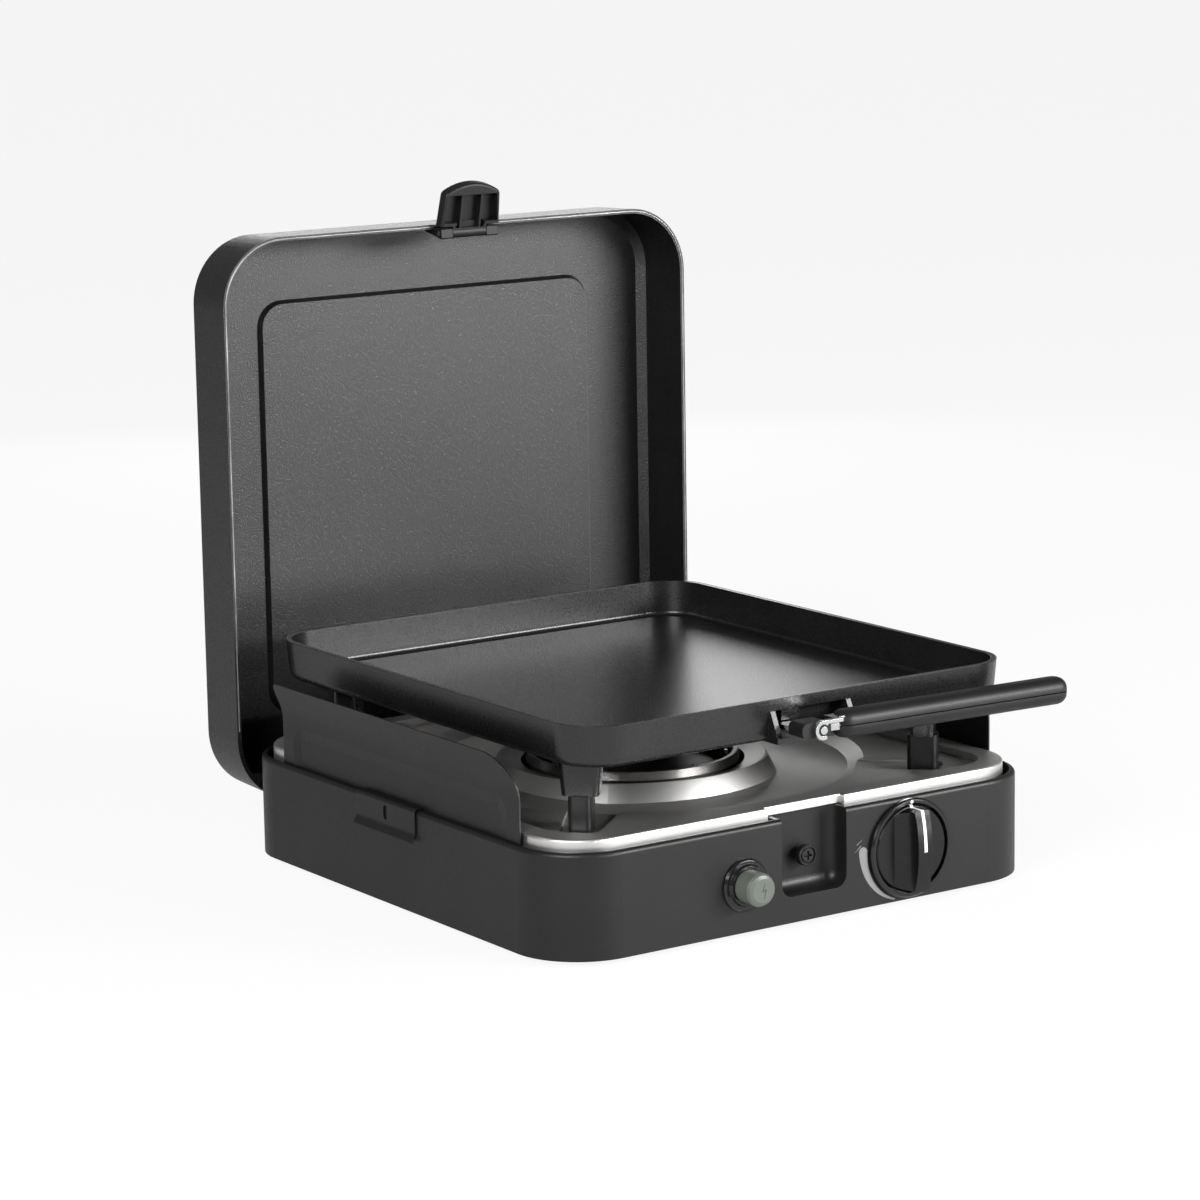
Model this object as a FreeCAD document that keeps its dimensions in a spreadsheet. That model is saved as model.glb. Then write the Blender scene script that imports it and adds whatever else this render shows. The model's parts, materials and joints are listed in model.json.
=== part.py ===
import FreeCAD, Part
import math
import os
import re
import Sketcher
from FreeCAD import Placement, Rotation, Vector

# Single burner gas stove with a drop-in griddle, a lid that opens upright behind the
# hob, two lift-off side windshields, a press igniter and a flame failure gas valve.
# Frame: +Z up, the front faces -Y, +X to the right. The origin is the middle of the
# square of the four feet, on the plane that they stand on. Millimetres.

os.makedirs("parts", exist_ok=True)

SIZES = [
    ("base_wide", 330.0, "width of the base over its side walls"),
    ("base_deep", 336.0, "depth of the base, front to back"),
    ("base_round", 40.0, "corner radius of the base in plan"),
    ("shell_wall", 3.0, "wall of the base shell"),
    ("shell_tall", 58.4, "height of the shell wall"),
    ("shell_lip", 2.6, "rounding of the shell's upper outer edge"),
    ("ledge_reach", 10.0, "how far the hob ledge stands in from the wall"),
    ("ledge_thick", 2.0, "thickness of the hob ledge"),
    ("ledge_drop", 13.4, "the hob ledge below the shell's upper edge"),
    ("boss_radius", 5.0, "radius of the screw bosses in the shell"),
    ("boss_y", 100.0, "place of the screw bosses along the side walls"),
    ("foot_tall", 3.0, "height of the rubber feet below the shell"),
    ("foot_radius", 9.0, "radius of the rubber feet"),
    ("foot_inset", 38.0, "foot centre in from the outer faces of the base"),
    ("foot_draft", 0.7, "how much narrower a foot is at the floor"),
    ("plug_radius", 3.0, "radius of the plug that holds a foot"),
    ("plug_lap", 1.0, "head of a foot's plug past its hole"),
    ("plate_thick", 1.2, "sheet of the bottom plate"),
    ("plate_gap", 0.4, "gap round the bottom plate"),
    ("plate_lift", 0.4, "bottom plate above the lower edge of the shell"),
    ("vent_long", 46.0, "length of a vent slot in the bottom plate"),
    ("vent_wide", 5.0, "width of a vent slot"),
    ("vent_pitch", 14.0, "pitch of the vent slots"),
    ("hob_gap", 7.0, "hob rim in from the outer face of the shell"),
    ("hob_sheet", 1.0, "sheet of the hob plate"),
    ("hob_rise", 5.6, "hob rim above the shell's upper edge"),
    ("hob_edge", 1.5, "rounding of the hob's outer upper edge"),
    ("tab_y", 60.0, "place of the hob's screw tabs, along"),
    ("tab_wide", 12.0, "width of the hob's screw tabs"),
    ("tab_reach", 8.0, "how far the hob's screw tabs stand in"),
    ("strip_wide", 13.0, "width of the raised strip round the hob"),
    ("strip_round", 22.0, "inner corner radius of the raised strip"),
    ("deck_drop", 4.5, "deck below the raised strip"),
    ("channel_drop", 2.0, "post channels below the deck"),
    ("channel_far", 10.9, "half width of a post channel at its end"),
    ("channel_near", 16.1, "half width of a post channel at the dish"),
    ("channel_out", 11.0, "channel end beyond the post centre"),
    ("dish_margin", 13.0, "dish in from the raised strip"),
    ("dish_slope", 9.0, "reach of the dish wall in plan"),
    ("dish_wall", 4.7, "height of the dish wall"),
    ("crown_step", 3.8, "flat of the dish beyond the crown"),
    ("dish_deep", 7.5, "depth of the dish floor below the deck"),
    ("flame_gap", 10.0, "burner hole beyond the burner bowl"),
    ("crown_wide", 16.0, "width of the wind crown, mouth to foot"),
    ("crown_lean", 5.0, "how far the crown leans in"),
    ("crown_tall", 10.2, "height of the wind crown"),
    ("funnel_low", 7.35, "foot of the crown's funnel above the dish floor"),
    ("funnel_tall", 6.55, "height of the crown's funnel over its whole reach"),
    ("crown_shift", 10.7, "centre shift of each of the crown's four bowed sides"),
    ("crown_sheet", 1.2, "sheet of the wind crown"),
    ("flange_wide", 3.0, "burner flange beyond the burner hole"),
    ("flange_thick", 3.0, "thickness of the burner flange"),
    ("bowl_radius", 50.0, "outer radius of the burner bowl under the hob"),
    ("bowl_wall", 3.0, "wall of the burner bowl"),
    ("bowl_deep", 25.0, "depth of the burner bowl below the hob"),
    ("rim_wide", 2.8, "thickness of the upright rim on the burner flange"),
    ("rim_back", 1.0, "burner's upright rim in from the hob's hole"),
    ("rim_tall", 7.4, "height of the burner's upright rim above the dish floor"),
    ("ring_tall", 5.2, "height of the bright flame ring"),
    ("ring_lap", 0.6, "flame ring out past the burner rim"),
    ("cap_lap", 0.4, "burner cap beyond the bowl"),
    ("cap_thick", 6.0, "thickness of the burner cap at its edge"),
    ("cap_rise", 3.0, "rise of the cap's dome"),
    ("port_count", 36, "flame ports round the burner cap"),
    ("port_long", 6.4, "flame ports in from the cap's upper edge"),
    ("cap_bevel", 4.4, "bevel of the burner cap's side"),
    ("port_wide", 1.8, "width of a flame port"),
    ("post_side", 48.0, "rest post centre in from the side of the base"),
    ("post_end", 49.0, "rest post centre in from the end of the base"),
    ("post_wide", 12.5, "rest post width, square to the diagonal"),
    ("post_long", 17.0, "rest post length, along the diagonal"),
    ("post_tall", 20.5, "height of the rest posts"),
    ("post_grip", 8.2, "length of the screws inside the rest posts"),
    ("post_pin", 3.0, "radius of the pin on a rest post"),
    ("pin_tall", 4.5, "height of the pin on a rest post"),
    ("griddle_side", 18.0, "griddle rim in from the side of the base"),
    ("griddle_end", 6.0, "half of what the griddle is shorter than the base"),
    ("griddle_back", 3.5, "griddle centre towards the front"),
    ("griddle_round", 28.0, "griddle corner radius at its rim"),
    ("griddle_tall", 23.5, "height of the griddle tray"),
    ("griddle_wall", 3.2, "wall of the griddle"),
    ("griddle_floor", 4.0, "floor of the griddle"),
    ("griddle_lean", 5.0, "lean of the griddle wall, degrees"),
    ("griddle_edge", 6.0, "rounding of the griddle's lower edge"),
    ("gutter_wide", 9.0, "width of the gutter round the griddle floor"),
    ("gutter_deep", 1.6, "depth of the gutter"),
    ("gutter_edge", 1.1, "bevel along the gutter's upper edge"),
    ("leg_tall", 23.0, "height of the griddle legs"),
    ("leg_wide", 25.0, "leg width at the tray, square to the diagonal"),
    ("leg_long", 15.0, "leg length at the tray, along the diagonal"),
    ("leg_narrow", 20.0, "leg width at its foot"),
    ("leg_short", 13.5, "leg length at its foot"),
    ("rest_gap", 0.0, "gap between legs and posts"),
    ("pin_gap", 0.3, "gap round a post pin in its leg"),
    ("front_x", 1.5, "middle of the catch, latch and handle socket, across"),
    ("socket_wide", 48.0, "width of the handle socket"),
    ("socket_deep", 9.0, "socket depth behind the griddle's outer face"),
    ("socket_low", 3.0, "socket floor above the griddle's underside"),
    ("socket_high", 17.0, "socket top above the griddle's underside"),
    ("cheek_wide", 3.2, "thickness of the socket's cheeks"),
    ("cheek_out", 6.4, "how far the cheeks stand out at their foot"),
    ("lug_wide", 12.0, "width of the lug in the socket"),
    ("lug_tall", 6.0, "height of the lug in the socket"),
    ("lug_x", -11.5, "middle of the lug from the middle of the socket"),
    ("pivot_left", 10.0, "handle pivot to the left of the socket's middle"),
    ("pivot_out", 15.3, "middle plane of the handle in front of the griddle's rim"),
    ("pivot_rise", 8.7, "handle pivot above the griddle's underside"),
    ("handle_tilt", -0.8, "upward tilt of the handle, degrees"),
    ("grip_start", 13.5, "grip start from the pivot"),
    ("grip_end", 176.0, "grip end from the pivot"),
    ("grip_wide", 16.0, "width of the grip"),
    ("grip_half", 7.3, "height of each half of the grip"),
    ("grip_seam", 0.6, "gap between the two halves of the grip"),
    ("grip_round", 6.2, "rounding of the grip"),
    ("head_left", 12.2, "handle head to the left of the pivot"),
    ("head_right", 7.0, "handle head to the right of the pivot"),
    ("head_front", 6.2, "front face of the head from the middle plane"),
    ("head_back", 6.2, "back face of the head from the middle plane"),
    ("head_half", 4.2, "half height of the head"),
    ("head_round", 3.4, "rounding of the handle's head"),
    ("hook_outer", 5.3, "outer radius of the lock hook"),
    ("hook_inner", 3.3, "inner radius of the lock hook"),
    ("hook_thick", 2.8, "thickness of the lock hook"),
    ("mouth_right", 3.2, "lower corner of the hook's mouth, right of the pivot"),
    ("mouth_low", 5.5, "lower corner of the hook's mouth, below the pivot"),
    ("arm_long", 46.0, "length of the arms inside the grip"),
    ("arm_thick", 2.0, "height of the upper arm"),
    ("bar_low", -2.2, "lower face of the lower bar"),
    ("bar_high", 1.6, "upper face of the lower bar"),
    ("bar_wide", 8.0, "width of the lower bar"),
    ("bar_start", 1.8, "inner end of the lower bar from the pivot"),
    ("hook_boss", 3.2, "radius of the boss that the hook turns on"),
    ("handle_pin", 2.2, "radius of the handle pivot pin"),
    ("tongue_wide", 12.0, "width of the handle's tongue"),
    ("tongue_thick", 2.4, "thickness of the handle's tongue"),
    ("tongue_long", 15.0, "length of the tongue behind the head"),
    ("shield_in", 4.5, "middle plane of the windshields in from the shell's outer face"),
    ("shield_sheet", 1.0, "sheet of the windshields"),
    ("shield_ends", 45.5, "windshield's ends in from the ends of the base"),
    ("shield_y", -2.7, "middle of the windshields, along"),
    ("bend_rise", 30.1, "bend of the windshields above the shell"),
    ("flare_tall", 17.0, "height of the windshields' flared edge"),
    ("shield_flare", 7.2, "outward flare of the windshields"),
    ("shield_round", 25.0, "upper front corner radius of the windshields"),
    ("shield_bow", 30.0, "bend radius of the windshields below their flare"),
    ("shield_heel", 5.0, "upper rear corner radius of the windshields"),
    ("shield_panel", 11.5, "border between the windshield's edge and its panel"),
    ("panel_gap", 7.0, "windshield's pressed panel below its bend"),
    ("panel_press", 1.2, "depth of the windshield's pressed panel"),
    ("panel_border", 8.0, "width of the sloped border round the windshield's panel"),
    ("clip_long", 61.0, "length of the windshield clips"),
    ("clip_sheet", 0.8, "sheet of the windshield clips"),
    ("clip_y", 1.5, "middle of the clips, along"),
    ("clip_drop", 17.4, "lower edge of the clips below the shell's upper edge"),
    ("clip_leg", 11.0, "clip's inner leg below the shell's upper edge"),
    ("clip_gap", 0.3, "gap between clip and shell"),
    ("clip_flare", 2.4, "outward flare of a clip at its lower edge"),
    ("clip_bend", 2.2, "outer bend radius of a clip"),
    ("clip_lip", 4.2, "height of a clip's flared edge"),
    ("slot_wide", 4.0, "width of the slot in a clip"),
    ("slot_tall", 8.0, "height of the slot in a clip"),
    ("rivet_radius", 2.0, "radius of the rivet heads"),
    ("rivet_shank", 1.5, "radius of the latch rivets' shanks"),
    ("rivet_lap", 0.8, "heads of the latch rivets beyond the other rivet heads"),
    ("shank_short", 0.15, "shanks in the lid's wall end this far inside its outer face"),
    ("lid_side", 2.0, "side of the lid in from the side of the base"),
    ("lid_end", 1.5, "end of the lid in from the end of the base"),
    ("lid_round", 40.0, "corner radius of the lid"),
    ("lid_tall", 43.0, "depth of the lid's tray"),
    ("lid_wall", 1.5, "wall of the lid"),
    ("lid_edge", 5.5, "bevel round the lid's back"),
    ("lid_lean", 2.0, "lean of the lid's walls, degrees"),
    ("lid_gap", 2.0, "open lid behind the base"),
    ("hinge_in", 20.0, "lid hinge in from the base's back face"),
    ("lid_shut", 3.6, "shut lid above the shell's upper edge"),
    ("bead_wide", 1.3, "inward bead along the lid's rim"),
    ("bead_tall", 2.4, "depth of the bead along the lid's rim"),
    ("panel_side", 47.5, "pressed panel in from the side of the lid"),
    ("panel_end", 44.0, "pressed panel in from the end of the lid"),
    ("panel_round", 14.0, "corner radius of the pressed panel"),
    ("panel_rise", 3.0, "depth of the pressed panel in the lid"),
    ("panel_lean", 35.0, "lean of the pressed panel's edge, degrees"),
    ("strap_x", 95.0, "hinge strap from the middle, across"),
    ("strap_wide", 16.0, "width of the hinge straps"),
    ("strap_thick", 2.5, "thickness of the hinge straps"),
    ("strap_long", 24.0, "length of a hinge strap inside the lid"),
    ("arm_screw_out", 10.8, "outer screw of a hinge strap behind the lid's rim"),
    ("arm_screw_in", 19.2, "inner screw of a hinge strap behind the lid's rim"),
    ("strap_eye", 5.0, "outer radius of a hinge strap's eye"),
    ("strap_seat", 0.2, "gap between strap and lid wall"),
    ("strap_room", 1.5, "gap each side of a strap in its slot"),
    ("hinge_pin", 2.5, "radius of the hinge pins"),
    ("pin_fit", 0.05, "radial running fit of pins and spindles"),
    ("cheek_thick", 2.0, "sheet of the hinge brackets"),
    ("cheek_gap", 0.5, "gap between strap eye and bracket cheek"),
    ("cheek_high", 4.25, "hinge bracket's top above the hinge's axis"),
    ("cheek_end", 8.0, "hinge bracket's foot behind the hinge's axis"),
    ("recess_wide", 44.0, "width of the catch recess"),
    ("recess_deep", 13.0, "depth of the catch recess"),
    ("recess_low", 17.5, "height of the catch recess's floor"),
    ("recess_round", 7.0, "rounding of the catch recess"),
    ("recess_cove", 6.5, "hollow rounding between the recess's back and its floor"),
    ("recess_wall", 2.5, "wall round the catch recess"),
    ("notch_gap", 3.0, "hob notch behind the catch recess's wall"),
    ("notch_side", 1.5, "hob notch past each side of the recess's wall"),
    ("jog_gap", 0.5, "hob's stepped rim above the shell's upper edge"),
    ("jog_deep", 3.6, "how far the hob's rim steps back above the catch recess"),
    ("catch_drop", 24.4, "catch screw below the shell's upper edge"),
    ("catch_head", 6.0, "radius of the catch screw's collar"),
    ("catch_shank", 3.5, "radius of the catch screw's shank"),
    ("catch_out", 7.5, "catch screw out from the back of the recess"),
    ("catch_thick", 3.5, "thickness of the catch screw's collar"),
    ("catch_in", 6.0, "end of the catch screw behind the back of the recess"),
    ("cross_half", 0.6, "half width of the catch screw's cross slot"),
    ("latch_wide", 41.0, "width of the latch at its foot"),
    ("latch_narrow", 37.4, "width of the latch at its top"),
    ("latch_deep", 7.5, "thickness of the latch"),
    ("latch_tall", 25.7, "height of the latch above its lower edge"),
    ("latch_low", 4.8, "lower edge of the latch above its pivot"),
    ("rib_x", 6.8, "ribs of the latch from its middle"),
    ("rib_half", 0.6, "half thickness of the latch's ribs"),
    ("latch_front", 3.5, "latch's front face before its pivot"),
    ("latch_lean", 12.0, "forward lean of the latch at rest, degrees"),
    ("latch_arch", 34.0, "radius of the latch's arched top"),
    ("latch_wall", 1.8, "wall of the latch"),
    ("latch_cap", 7.0, "solid cap of the latch"),
    ("latch_round", 4.0, "rounding of the latch's shoulders"),
    ("latch_pin", 1.5, "radius of the latch pin"),
    ("latch_barrel", 3.2, "radius of the latch barrel"),
    ("neck_back", 2.4, "back of the latch's neck behind its pivot"),
    ("barrel_wide", 23.4, "width of the latch barrel"),
    ("ear_wide", 7.8, "width of each ear of the latch bracket"),
    ("ear_gap", 0.3, "gap between barrel and ears"),
    ("latch_out", 4.0, "latch pivot in front of the lid's rim"),
    ("latch_drop", 5.1, "latch pivot below the top of the open lid"),
    ("bracket_deep", 11.0, "latch bracket behind the lid's rim"),
    ("bracket_thick", 2.5, "thickness of the latch bracket's plate"),
    ("knob_x", 67.0, "knob centre, across"),
    ("knob_z", 32.4, "knob centre, height"),
    ("knob_radius", 24.3, "radius of the knob's disc"),
    ("knob_thick", 3.8, "thickness of the knob's disc"),
    ("knob_out", 2.5, "front of the disc out from the shell"),
    ("knob_push", 4.0, "travel of the knob when pressed in"),
    ("bar_reach", 12.3, "knob bar out from the disc at its middle"),
    ("bar_ends", 9.0, "knob bar out from the disc at its ends"),
    ("bar_foot", 24.0, "width of the knob bar at the disc"),
    ("bar_face", 9.8, "width of the knob bar's face"),
    ("bar_flank", 14.0, "radius of the knob bar's hollow flanks"),
    ("bar_long", 46.0, "length of the knob bar"),
    ("bezel_radius", 28.0, "outer radius of the knob bezel"),
    ("bezel_gap", 1.0, "gap between disc and bezel"),
    ("bezel_out", 3.0, "knob bezel out from the shell"),
    ("bezel_wall", 1.0, "wall of the bezel's cup"),
    ("bezel_deep", 6.5, "bezel cup behind the shell's face"),
    ("spindle_radius", 3.0, "radius of the valve spindle"),
    ("spindle_in", 20.0, "inner end of the valve spindle behind the shell's face"),
    ("spindle_out", 4.5, "outer end of the valve spindle out from the shell"),
    ("spindle_hole", 4.5, "radius of the bezel's hole round the spindle"),
    ("rotor_radius", 6.0, "radius of the valve rotor"),
    ("valve_wide", 26.0, "width of the valve body"),
    ("valve_long", 32.0, "length of the valve body"),
    ("valve_drop", 12.4, "underside of the valve body below the knob's axis"),
    ("valve_rise", 17.6, "top of the valve body above the knob's axis"),
    ("magnet_radius", 7.5, "radius of the flame failure magnet"),
    ("magnet_long", 20.0, "length of the flame failure magnet"),
    ("magnet_in", 9.0, "axis of the magnet in front of the valve's back face"),
    ("button_x", -45.7, "igniter button, across"),
    ("button_z", 29.6, "igniter button, height"),
    ("button_radius", 9.15, "radius of the igniter button"),
    ("button_out", 16.5, "igniter button out from the shell"),
    ("button_push", 5.0, "travel of the igniter button"),
    ("button_dome", 2.6, "rounding of the button's face"),
    ("collar_radius", 14.6, "outer radius of the button collar"),
    ("collar_step", 11.8, "radius of the button collar's step"),
    ("collar_thick", 2.2, "thickness of the button collar"),
    ("collar_rise", 1.8, "height of the button collar's step"),
    ("piezo_radius", 11.0, "radius of the piezo igniter"),
    ("piezo_long", 52.0, "length of the piezo igniter"),
    ("piezo_body", 31.2, "length of the piezo igniter's wide part"),
    ("stem_long", 28.6, "button's stem behind the shell's face"),
    ("tube_radius", 10.0, "outer radius of the mixing tube"),
    ("tube_wall", 1.5, "wall of the mixing tube"),
    ("tube_start", 12.5, "inner end of the mixing tube from the middle"),
    ("tube_drop", 8.0, "mixing tube's axis below the hob ledge"),
    ("tube_out", 118.0, "mouth of the mixing tube from the middle"),
    ("jet_gap", 6.0, "air gap between jet and mixing tube"),
    ("jet_radius", 4.5, "radius of the gas jet"),
    ("jet_bore", 0.75, "radius of the bore in the gas jet"),
    ("jet_long", 10.0, "length of the gas jet"),
    ("probe_radius", 2.0, "radius of the thermocouple and electrode"),
    ("probe_gap", 1.6, "gap between bowl and thermocouple or electrode"),
    ("spark_step", 8.0, "thick part of the electrode above the hob ledge"),
    ("probe_turn", -41.0, "thermocouple's place round the burner, degrees"),
    ("spark_turn", -85.0, "electrode's place round the burner, degrees"),
    ("probe_rise", 19.5, "thermocouple's tip above the hob ledge"),
    ("probe_drop", 3.0, "thermocouple's lower end below the hob ledge"),
    ("lead_radius", 1.4, "radius of the igniter and thermocouple leads"),
    ("pipe_radius", 4.0, "outer radius of the gas pipe"),
    ("pipe_wall", 1.0, "wall of the gas pipe"),
    ("pipe_in", 20.0, "gas pipe in from the side of the base"),
    ("pipe_drop", 5.4, "gas pipe below the knob's axis"),
    ("inlet_y", 74.0, "gas inlet, along the right side"),
    ("inlet_radius", 7.0, "radius of the gas inlet's thread"),
    ("inlet_flange", 11.0, "radius of the gas inlet's flange"),
    ("nut_thick", 5.6, "thickness of the inlet nut"),
    ("tail_radius", 4.4, "radius of the hose tail at its neck"),
    ("tail_groove", 3.9, "radius between the hose tail's barbs"),
    ("tail_long", 26.0, "length of the hose tail"),
    ("tail_neck", 11.7, "end of the hose tail's neck, out from the base"),
    ("barb_two", 18.2, "second barb of the hose tail, out from the base"),
    ("barb_rise", 0.65, "length over which a barb rises"),
    ("screw_radius", 1.75, "radius of the housing screws"),
    ("screw_head", 3.4, "radius of the housing screw heads"),
    ("head_thick", 1.8, "thickness of the screw heads"),
]

# What follows from those sizes, for pieces that fit, carry or line up with each other.
FITTED = [
    ("hob_seat", "foot_tall + shell_tall - ledge_drop", "height of the ledge that carries the hob"),
    ("shield_x", "base_wide / 2 - shield_in", "middle plane of the side windshields"),
    ("shield_long", "base_deep - 2 * shield_ends", "length of the windshields"),
    ("shield_low", "hob_seat + clip_gap", "lower edge of the windshields"),
    ("shield_bend", "foot_tall + shell_tall + bend_rise", "height where the windshields bend outwards"),
    ("shield_high", "shield_bend + flare_tall", "upper edge of the windshields"),
    ("panel_high", "shield_bend - panel_gap", "upper edge of the windshield's pressed panel"),
    ("clip_low", "foot_tall + shell_tall - clip_drop", "lower edge of the clips"),
    ("leg_low", "foot_tall + shell_tall - clip_leg", "lower edge of the clips' inner legs"),
    ("lid_wide", "base_wide - 2 * lid_side", "width of the lid"),
    ("lid_deep", "base_deep - 2 * lid_end", "height of the open lid"),
    ("lid_mid", "base_deep / 2 + foot_tall + shell_tall + lid_shut - lid_gap - 2 * hinge_in",
     "height of the middle of the open lid"),
    ("panel_wide", "lid_wide - 2 * panel_side", "width of the pressed panel in the lid"),
    ("panel_deep", "lid_deep - 2 * panel_end", "height of the pressed panel in the lid"),
    ("post_x", "base_wide / 2 - post_side", "rest post centre from the middle, across"),
    ("post_y", "base_deep / 2 - post_end", "rest post centre from the middle, along"),
    ("griddle_wide", "base_wide - 2 * griddle_side", "griddle width at its rim"),
    ("griddle_deep", "base_deep - 2 * griddle_end", "griddle depth at its rim"),
    ("dish_rim", "base_wide / 2 - hob_gap - strip_wide - dish_margin", "radius of the dish at the deck"),
    ("dish_foot", "dish_rim - dish_slope", "radius of the dish at the foot of its wall"),
    ("dish_hole", "bowl_radius + flame_gap", "radius of the burner hole in the dish"),
    ("crown_hole", "dish_hole + 7 * ring_lap", "radius of the crown's mouth"),
    ("crown_foot", "crown_hole + crown_wide", "radius of the wind crown at its foot, mid side"),
    ("crown_top", "crown_foot - crown_lean", "radius of the wind crown at its top, mid side"),
    ("dish_flat", "crown_foot + crown_step", "radius of the flat floor of the dish"),
    ("bowl_flange", "dish_hole + flange_wide", "outer radius of the burner flange"),
    ("cap_radius", "bowl_radius + cap_lap", "radius of the burner cap at its foot"),
    ("cap_top", "cap_radius - cap_bevel", "radius of the burner cap at its upper edge"),
    ("probe_ring", "bowl_radius + probe_radius + probe_gap", "circle of the thermocouple and electrode"),
    ("probe_top", "hob_seat + probe_rise", "height of the thermocouple's tip"),
    ("probe_low", "hob_seat - probe_drop", "lower end of the thermocouple and electrode"),
    ("tube_z", "hob_seat - tube_drop", "height of the mixing tube's axis"),
    ("valve_low", "knob_z - valve_drop", "underside of the valve body"),
    ("valve_high", "knob_z + valve_rise", "top of the valve body"),
    ("pipe_z", "knob_z - pipe_drop", "height of the gas pipe"),
    ("pipe_x", "base_wide / 2 - pipe_in", "gas pipe's run along the right side"),
    ("catch_z", "foot_tall + shell_tall - catch_drop", "height of the catch screw"),
    ("pivot_x", "front_x - pivot_left", "handle pivot, across"),
    ("pivot_y", "-griddle_back - griddle_deep / 2 - pivot_out", "middle plane of the handle"),
    ("pivot_z", "foot_tall + shell_tall + hob_rise - deck_drop - channel_drop + post_tall + rest_gap"
     " + leg_tall + pivot_rise",
     "height of the handle pivot"),
]

doc = FreeCAD.newDocument("gas_stove")
sheet = doc.addObject("Spreadsheet::Sheet", "sheet")
for row, (alias, size, note) in enumerate(SIZES + FITTED, 1):
    sheet.set("A%d" % row, note)
    sheet.set("B%d" % row, "=" + size if isinstance(size, str) else "%.9g" % size)
    sheet.setAlias("B%d" % row, alias)
doc.recompute()
NAMES = {alias for alias, size, note in SIZES + FITTED}

# Heights and faces that several pieces share, written once in terms of the sheet.
SHELL_TOP = "(foot_tall + shell_tall)"
HOB_TOP = "(foot_tall + shell_tall + hob_rise)"
DECK = "(foot_tall + shell_tall + hob_rise - deck_drop)"
DISH = "(foot_tall + shell_tall + hob_rise - deck_drop - dish_deep)"
CHANNEL = "(foot_tall + shell_tall + hob_rise - deck_drop - channel_drop)"
TRAY_LOW = "(%s + post_tall + rest_gap + leg_tall)" % CHANNEL
FRONT = "(-base_deep / 2)"
LID_RIM = "(base_deep / 2 + lid_gap)"
HINGE_Y = "(base_deep / 2 - hinge_in)"
HINGE_Z = "(foot_tall + shell_tall + lid_shut - lid_gap - hinge_in)"
PLATE_TOP = "(foot_tall + plate_lift + plate_thick)"
RECESS_BACK = "(recess_deep - base_deep / 2)"
LATCH_Y = "(base_deep / 2 + lid_gap - latch_out)"
LATCH_Z = "(lid_mid + lid_deep / 2 - latch_drop)"


def bind(text):
    """The text with every size name pointing at the sheet."""
    def name(found):
        word = found.group(0)
        return "sheet." + word if word in NAMES else word
    return re.sub(r"[A-Za-z_]\w*", name, str(text))


def num(text):
    """The number that a text in sheet sizes comes to now."""
    value = sheet.evalExpression(bind(text))
    return float(getattr(value, "Value", value))


def drive(thing, prop, text):
    thing.setExpression(prop, bind(text))


def place(thing, x="0", y="0", z="0", turn=None):
    """Puts a piece at a point given in sheet sizes, turned as asked."""
    if turn is not None:
        thing.Placement = Placement(Vector(), turn)
    for axis, text in zip("xyz", (x, y, z)):
        drive(thing, "Placement.Base." + axis, text)
    return thing


TURN = {
    "z": None,
    "x": Rotation(Vector(0, 1, 0), 90),
    "y": Rotation(Vector(1, 0, 0), -90),
}


def block(name, x0, x1, y0, y1, z0, z1):
    """A box between two corners."""
    thing = doc.addObject("Part::Box", name)
    drive(thing, "Length", "(%s) - (%s)" % (x1, x0))
    drive(thing, "Width", "(%s) - (%s)" % (y1, y0))
    drive(thing, "Height", "(%s) - (%s)" % (z1, z0))
    return place(thing, x0, y0, z0)


def rod(name, radius, long, x="0", y="0", z="0", along="z"):
    """A cylinder that starts at a point and runs along an axis."""
    thing = doc.addObject("Part::Cylinder", name)
    drive(thing, "Radius", radius)
    drive(thing, "Height", long)
    return place(thing, x, y, z, TURN[along])


def taper(name, radius, end, long, x="0", y="0", z="0", along="z"):
    """A cone that starts at a point and runs along an axis."""
    thing = doc.addObject("Part::Cone", name)
    drive(thing, "Radius1", radius)
    drive(thing, "Radius2", end)
    drive(thing, "Height", long)
    return place(thing, x, y, z, TURN[along])


def join(name, *things):
    whole = doc.addObject("Part::MultiFuse", name)
    whole.Shapes = list(things)
    whole.Refine = True
    return whole


def less(name, base, *tools):
    tool = tools[0]
    if len(tools) > 1:
        tool = join(name + "_tools", *tools)
    whole = doc.addObject("Part::Cut", name)
    whole.Base = base
    whole.Tool = tool
    whole.Refine = True
    return whole


def shared(name, *things):
    whole = doc.addObject("Part::MultiCommon", name)
    whole.Shapes = list(things)
    return whole


def group(name, *things):
    """Several like solids that share one node."""
    whole = doc.addObject("Part::Compound", name)
    whole.Links = list(things)
    return whole


def picked(shape, test):
    return ["Edge%d" % (i + 1) for i, edge in enumerate(shape.Edges) if test(edge)]


def rounded_edges(name, base, radius, test):
    """The base with the picked edges rounded."""
    doc.recompute()
    whole = doc.addObject("Part::Fillet", name)
    whole.Base = base
    size = num(radius)
    found = [i + 1 for i, edge in enumerate(base.Shape.Edges) if test(edge)]
    whole.Edges = [(i, size, size) for i in found]
    return whole


def body(name):
    thing = doc.addObject("PartDesign::Body", name)
    thing.Label = name
    return thing


def sketch(owner, role, offset="0"):
    flat = [f for f in owner.Origin.OriginFeatures if f.Role == role][0]
    thing = owner.newObject("Sketcher::SketchObject", owner.Label + "_sketch")
    thing.AttachmentSupport = [(flat, "")]
    thing.MapMode = "FlatFace"
    if offset != "0":
        drive(thing, "AttachmentOffset.Base.z", offset)
    return thing


def fixed(thing, kind, text, *which):
    """A driving dimension of a sketch, bound to the sheet."""
    index = thing.addConstraint(Sketcher.Constraint(kind, *which, num(text)))
    drive(thing, "Constraints[%d]" % index, text)


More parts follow.
